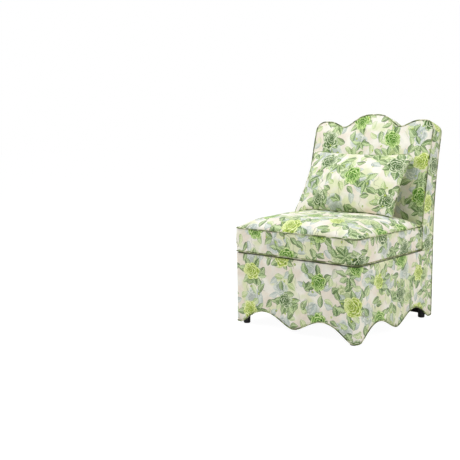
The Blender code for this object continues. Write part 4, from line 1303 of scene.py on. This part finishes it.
# Pillow
@dataclass
class Pillow:
    """The loose pillow with its piped rim, lying on the seat and against the back."""

    seat: Seat
    back: Back
    width: float = 0.525
    height: float = 0.312
    loft: float = 0.130
    side_draw: float = 0.008
    end_draw: float = 0.009
    corner_round: float = 0.012
    lean: float = 32.0
    roll: float = 1.4
    columns: int = 112
    rows: int = 67
    clear: float = 0.0006
    pressure: float = 0.8
    swell_reach: float = 0.004
    cloth_place: Pair = (0.22, 2.07)

    def turn(self) -> Array:
        """Rotation of the pillow, top leaning back and left end higher."""
        lean, roll = math.radians(self.lean), math.radians(self.roll)
        return np.array(Matrix.Rotation(-lean, 3, "X") @ Matrix.Rotation(roll, 3, "Y"))

    def build(self, shop: Workshop) -> None:
        """Make the pillow, two stuffed faces with drawn-in sides and rounded corners, and its piping.

        Args: shop: where pieces are made.
        """
        low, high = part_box("pillow_piping")
        centre, turn = np.array((low + high) / 2) - [0, SHAPE.shift(), 0], self.turn()
        u, v = np.meshgrid(np.linspace(-1, 1, self.columns), np.linspace(-1, 1, self.rows), indexing="ij")
        round_off = self.corner_round * (np.abs(u * v) ** 24)
        x = u * (self.width / 2 - self.side_draw * (1 - v ** 2)) - np.sign(u) * round_off
        z = v * (self.height / 2 - self.end_draw * (1 - u ** 2)) - np.sign(v) * round_off
        fullness = np.clip(1 - u ** 2, 0, 1) ** 0.84 * np.clip(1 - v ** 2, 0, 1) ** 0.68
        deep = self.loft / 2 * fullness
        sides = self.swell(np.stack([np.stack([x, side * deep, z], -1) for side in (-1, 1)]))
        rim = (sides[0] + sides[1]) / 2 @ turn.T + centre
        room = np.minimum(self.width / 2 - np.abs(x), self.height / 2 - np.abs(z))
        patches = []
        for side, seed, local in zip((-1, 1), (41, 43), sides):
            cloth = np.stack([-side * x, z], -1) + self.cloth_place
            local[..., 1] += side * SoftRelief(seed, 0.10, 0.0008).at(cloth, room) * fullness
            patches.append((self.rest(local @ turn.T + centre, rim, 0.0), cloth))
        shop.cushion("pillow_cushion", patches, "pillow", tuple(centre),
                     ["pillow_insert", "pillow_front_cover", "pillow_rear_cover"])
        edge = self.rest(rim, rim, SHAPE.cord)
        loop = np.concatenate([edge[:-1, 0], edge[-1, :-1], edge[:0:-1, -1], edge[0, :0:-1]])
        # the pillow's cord takes the lighter copy of the cord cloth: painted light on its rim
        shop.piping("pillow_cord", loop, True, "pillow", tuple(turn @ [0, 1, 0]), "pillow_piping",
                    shop.finishes.lit_pillow_piping)

    def swell(self, sides: Array) -> Array:
        """Let the cover swell by simulation, bring it back to the pillow's size and cap each point's move.

        Args: sides: the two faces' grids, in the pillow's own directions.
        Returns: the grids.
        """
        index = numbered(sides.shape[1:3])
        other = index + index.size
        other[[0, -1]], other[:, [0, -1]] = index[[0, -1]], index[:, [0, -1]]
        used, compact = np.unique(np.concatenate([quads(index), quads(other)[:, ::-1]]), return_inverse=True)
        points = sides.reshape(-1, 3)[used]
        end = stuffed(points, compact.reshape(-1, 4), np.array([], int), self.pressure, 0.0)
        size, was = np.ptp(end, axis=0), np.ptp(points, axis=0)
        LOG.info("pillow swelled from %s to %s mm", was * 1000, size * 1000)
        step = (end - end.mean(0)) * was / size + points.mean(0) - points
        step *= np.minimum(1, self.swell_reach / np.maximum(np.linalg.norm(step, axis=1), 1e-9))[:, None]
        full = np.empty((index.size * 2, 3))
        full[used] = points + step
        for shared in (index[[0, -1]], index[:, [0, -1]]):
            full[shared + index.size] = full[shared]
        return full.reshape(sides.shape)

    def seat_under(self, points: Array) -> Array:
        """Height of the seat under points, far down where there is none.

        Args: points: the points.
        Returns: the heights.
        """
        x, y = points[..., 0], points[..., 1]
        room = self.seat.room(x, y)
        return np.where(room > 0, self.seat.top(x, y, np.maximum(room, 0)), -1.0)

    def rest(self, points: Array, rim: Array, radius: float) -> Array:
        """Let the lower edge down on the seat, and flatten what touches the seat or the back.

        Args: points: a grid of the pillow. rim: its middle plane. radius: round the points.
        Returns: the points at rest.
        """
        x, y, z = np.moveaxis(points, -1, 0)
        gap = rim[:, 0, 2] - SHAPE.cord - self.clear - self.seat_under(rim[:, 0])
        z = z - gap[:, None] * (1 - np.linspace(0, 1, self.rows)) ** 1.6
        z = np.maximum(z, self.seat_under(points) + self.clear + radius)
        room = self.back.room(x, z)
        wall = np.where(room > 0, self.back.face(x, z, np.maximum(room, 0)), 1.0)
        return np.stack([x, np.minimum(y, wall - self.clear - radius), z], -1)


# Studio
@dataclass(frozen=True)
class Lamp:
    """A soft square lamp that looks at the chair."""

    name: str
    place: Triple
    size: float
    power: float
    colour: Colour


@dataclass
class Studio:
    """The camera of the photograph, a white room and soft lamps."""

    place: Triple = (1.764, -2.713, 0.831)
    yaw: float = 41.4
    pitch: float = 7.42
    roll: float = -0.53
    lens: float = 56.73
    target: Triple = (0, 0, 0.4)
    lamps: tuple[Lamp, ...] = (
        Lamp("key", (-2.1, -2.5, 2.6), 1.8, 49.0, (1.0, 0.98, 0.95)),
        Lamp("fill", (3.2, 0.3, 1.7), 2.0, 44.0, (1.0, 0.98, 0.95)),
        Lamp("top", (-0.2, -0.6, 3.1), 2.0, 52.0, (0.91, 0.95, 1.0)),
        Lamp("rear", (-1.0, 3.0, 2.2), 2.4, 38.0, (1.0, 1.0, 1.0)))
    floor_reach: float = 30.0
    floor_grey: float = 0.86
    floor_glow: float = 1.20
    glow_share: float = 0.80
    ambient: float = 0.24

    def build(self) -> None:
        """Make the camera, room and lamps."""
        bpy.context.scene.view_settings.view_transform = "Standard"
        self.build_camera()
        self.build_floor()
        self.build_world()
        for lamp in self.lamps:
            light = bpy.data.lights.new(lamp.name, "AREA")
            light.size, light.energy, light.color = lamp.size, lamp.power, lamp.colour
            made = bpy.data.objects.new(lamp.name, light)
            made.location = lamp.place
            way = Vector(self.target) - Vector(lamp.place)
            made.rotation_euler = way.to_track_quat("-Z", "Y").to_euler()
            bpy.context.scene.collection.objects.link(made)

    def build_camera(self) -> None:
        """Make the camera from its place and three turns."""
        data = bpy.data.cameras.new("camera")
        data.lens, data.sensor_width = self.lens, 36
        camera = bpy.data.objects.new("camera", data)
        place = Matrix.Translation(Vector(self.place) + Vector((0, SHAPE.shift(), 0)))
        for angle, axis in ((self.yaw, "Z"), (90 - self.pitch, "X"), (self.roll, "Z")):
            place = place @ Matrix.Rotation(math.radians(angle), 4, axis)
        camera.matrix_world = place
        bpy.context.scene.collection.objects.link(camera)
        bpy.context.scene.camera = camera

    def build_floor(self) -> None:
        """Make the floor: white to the camera through a glow, with the shadow kept."""
        reach = self.floor_reach
        data = bpy.data.meshes.new("floor")
        data.from_pydata([(-reach, -reach, 0), (reach, -reach, 0), (reach, reach, 0), (-reach, reach, 0)], [],
                         [(0, 1, 2, 3)])
        floor = bpy.data.objects.new("floor", data)
        bpy.context.scene.collection.objects.link(floor)
        graph = Graph(bpy.data.materials.new("white_floor"))
        plain = graph.signal("BsdfDiffuse", None, {0: (self.floor_grey,) * 3})
        glow = graph.signal("Emission", None, {0: (1.0, 1.0, 1.0), 1: self.floor_glow})
        seen = graph.signal("LightPath", output="Is Camera Ray") * self.glow_share
        graph.node("OutputMaterial", None, {0: graph.signal("MixShader", None, {0: seen, 1: plain, 2: glow})})
        data.materials.append(graph.owner)

    def build_world(self) -> None:
        """Make the world: white where it is seen, mirrored or seen through, and dim as a light."""
        graph = Graph(bpy.data.worlds.new("white_room"))
        bpy.context.scene.world = graph.owner
        seen, mirrored, through = (graph.signal("LightPath", output=f"Is {kind} Ray")
                                   for kind in ("Camera", "Glossy", "Transmission"))
        strength = seen.higher(mirrored).higher(through) * (1.0 - self.ambient) + self.ambient
        light = graph.signal("Background", None, {0: (1.0, 1.0, 1.0), 1: strength})
        graph.node("OutputWorld", None, {0: light})


def corners(box: tuple) -> list[list[float]]:
    """A box's two corners as plain lists."""
    return [list(corner) for corner in box]


def main() -> None:
    """Dress the frame, build the pieces, and log each piece's face count."""
    logging.basicConfig(level=logging.INFO, format="%(name)s: %(message)s")
    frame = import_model()
    Studio().build()
    finishes = Finishes()
    finishes.dress_nodes(frame)
    shop = Workshop(finishes)
    back, seat = Back(), Seat()
    for part in (Base(), back, seat, Pillow(seat, back)):
        part.build(shop)
    for made in shop.made:
        LOG.info("%s: %d faces", made.name, len(made.data.polygons))


if __name__ == "__main__":
    main()
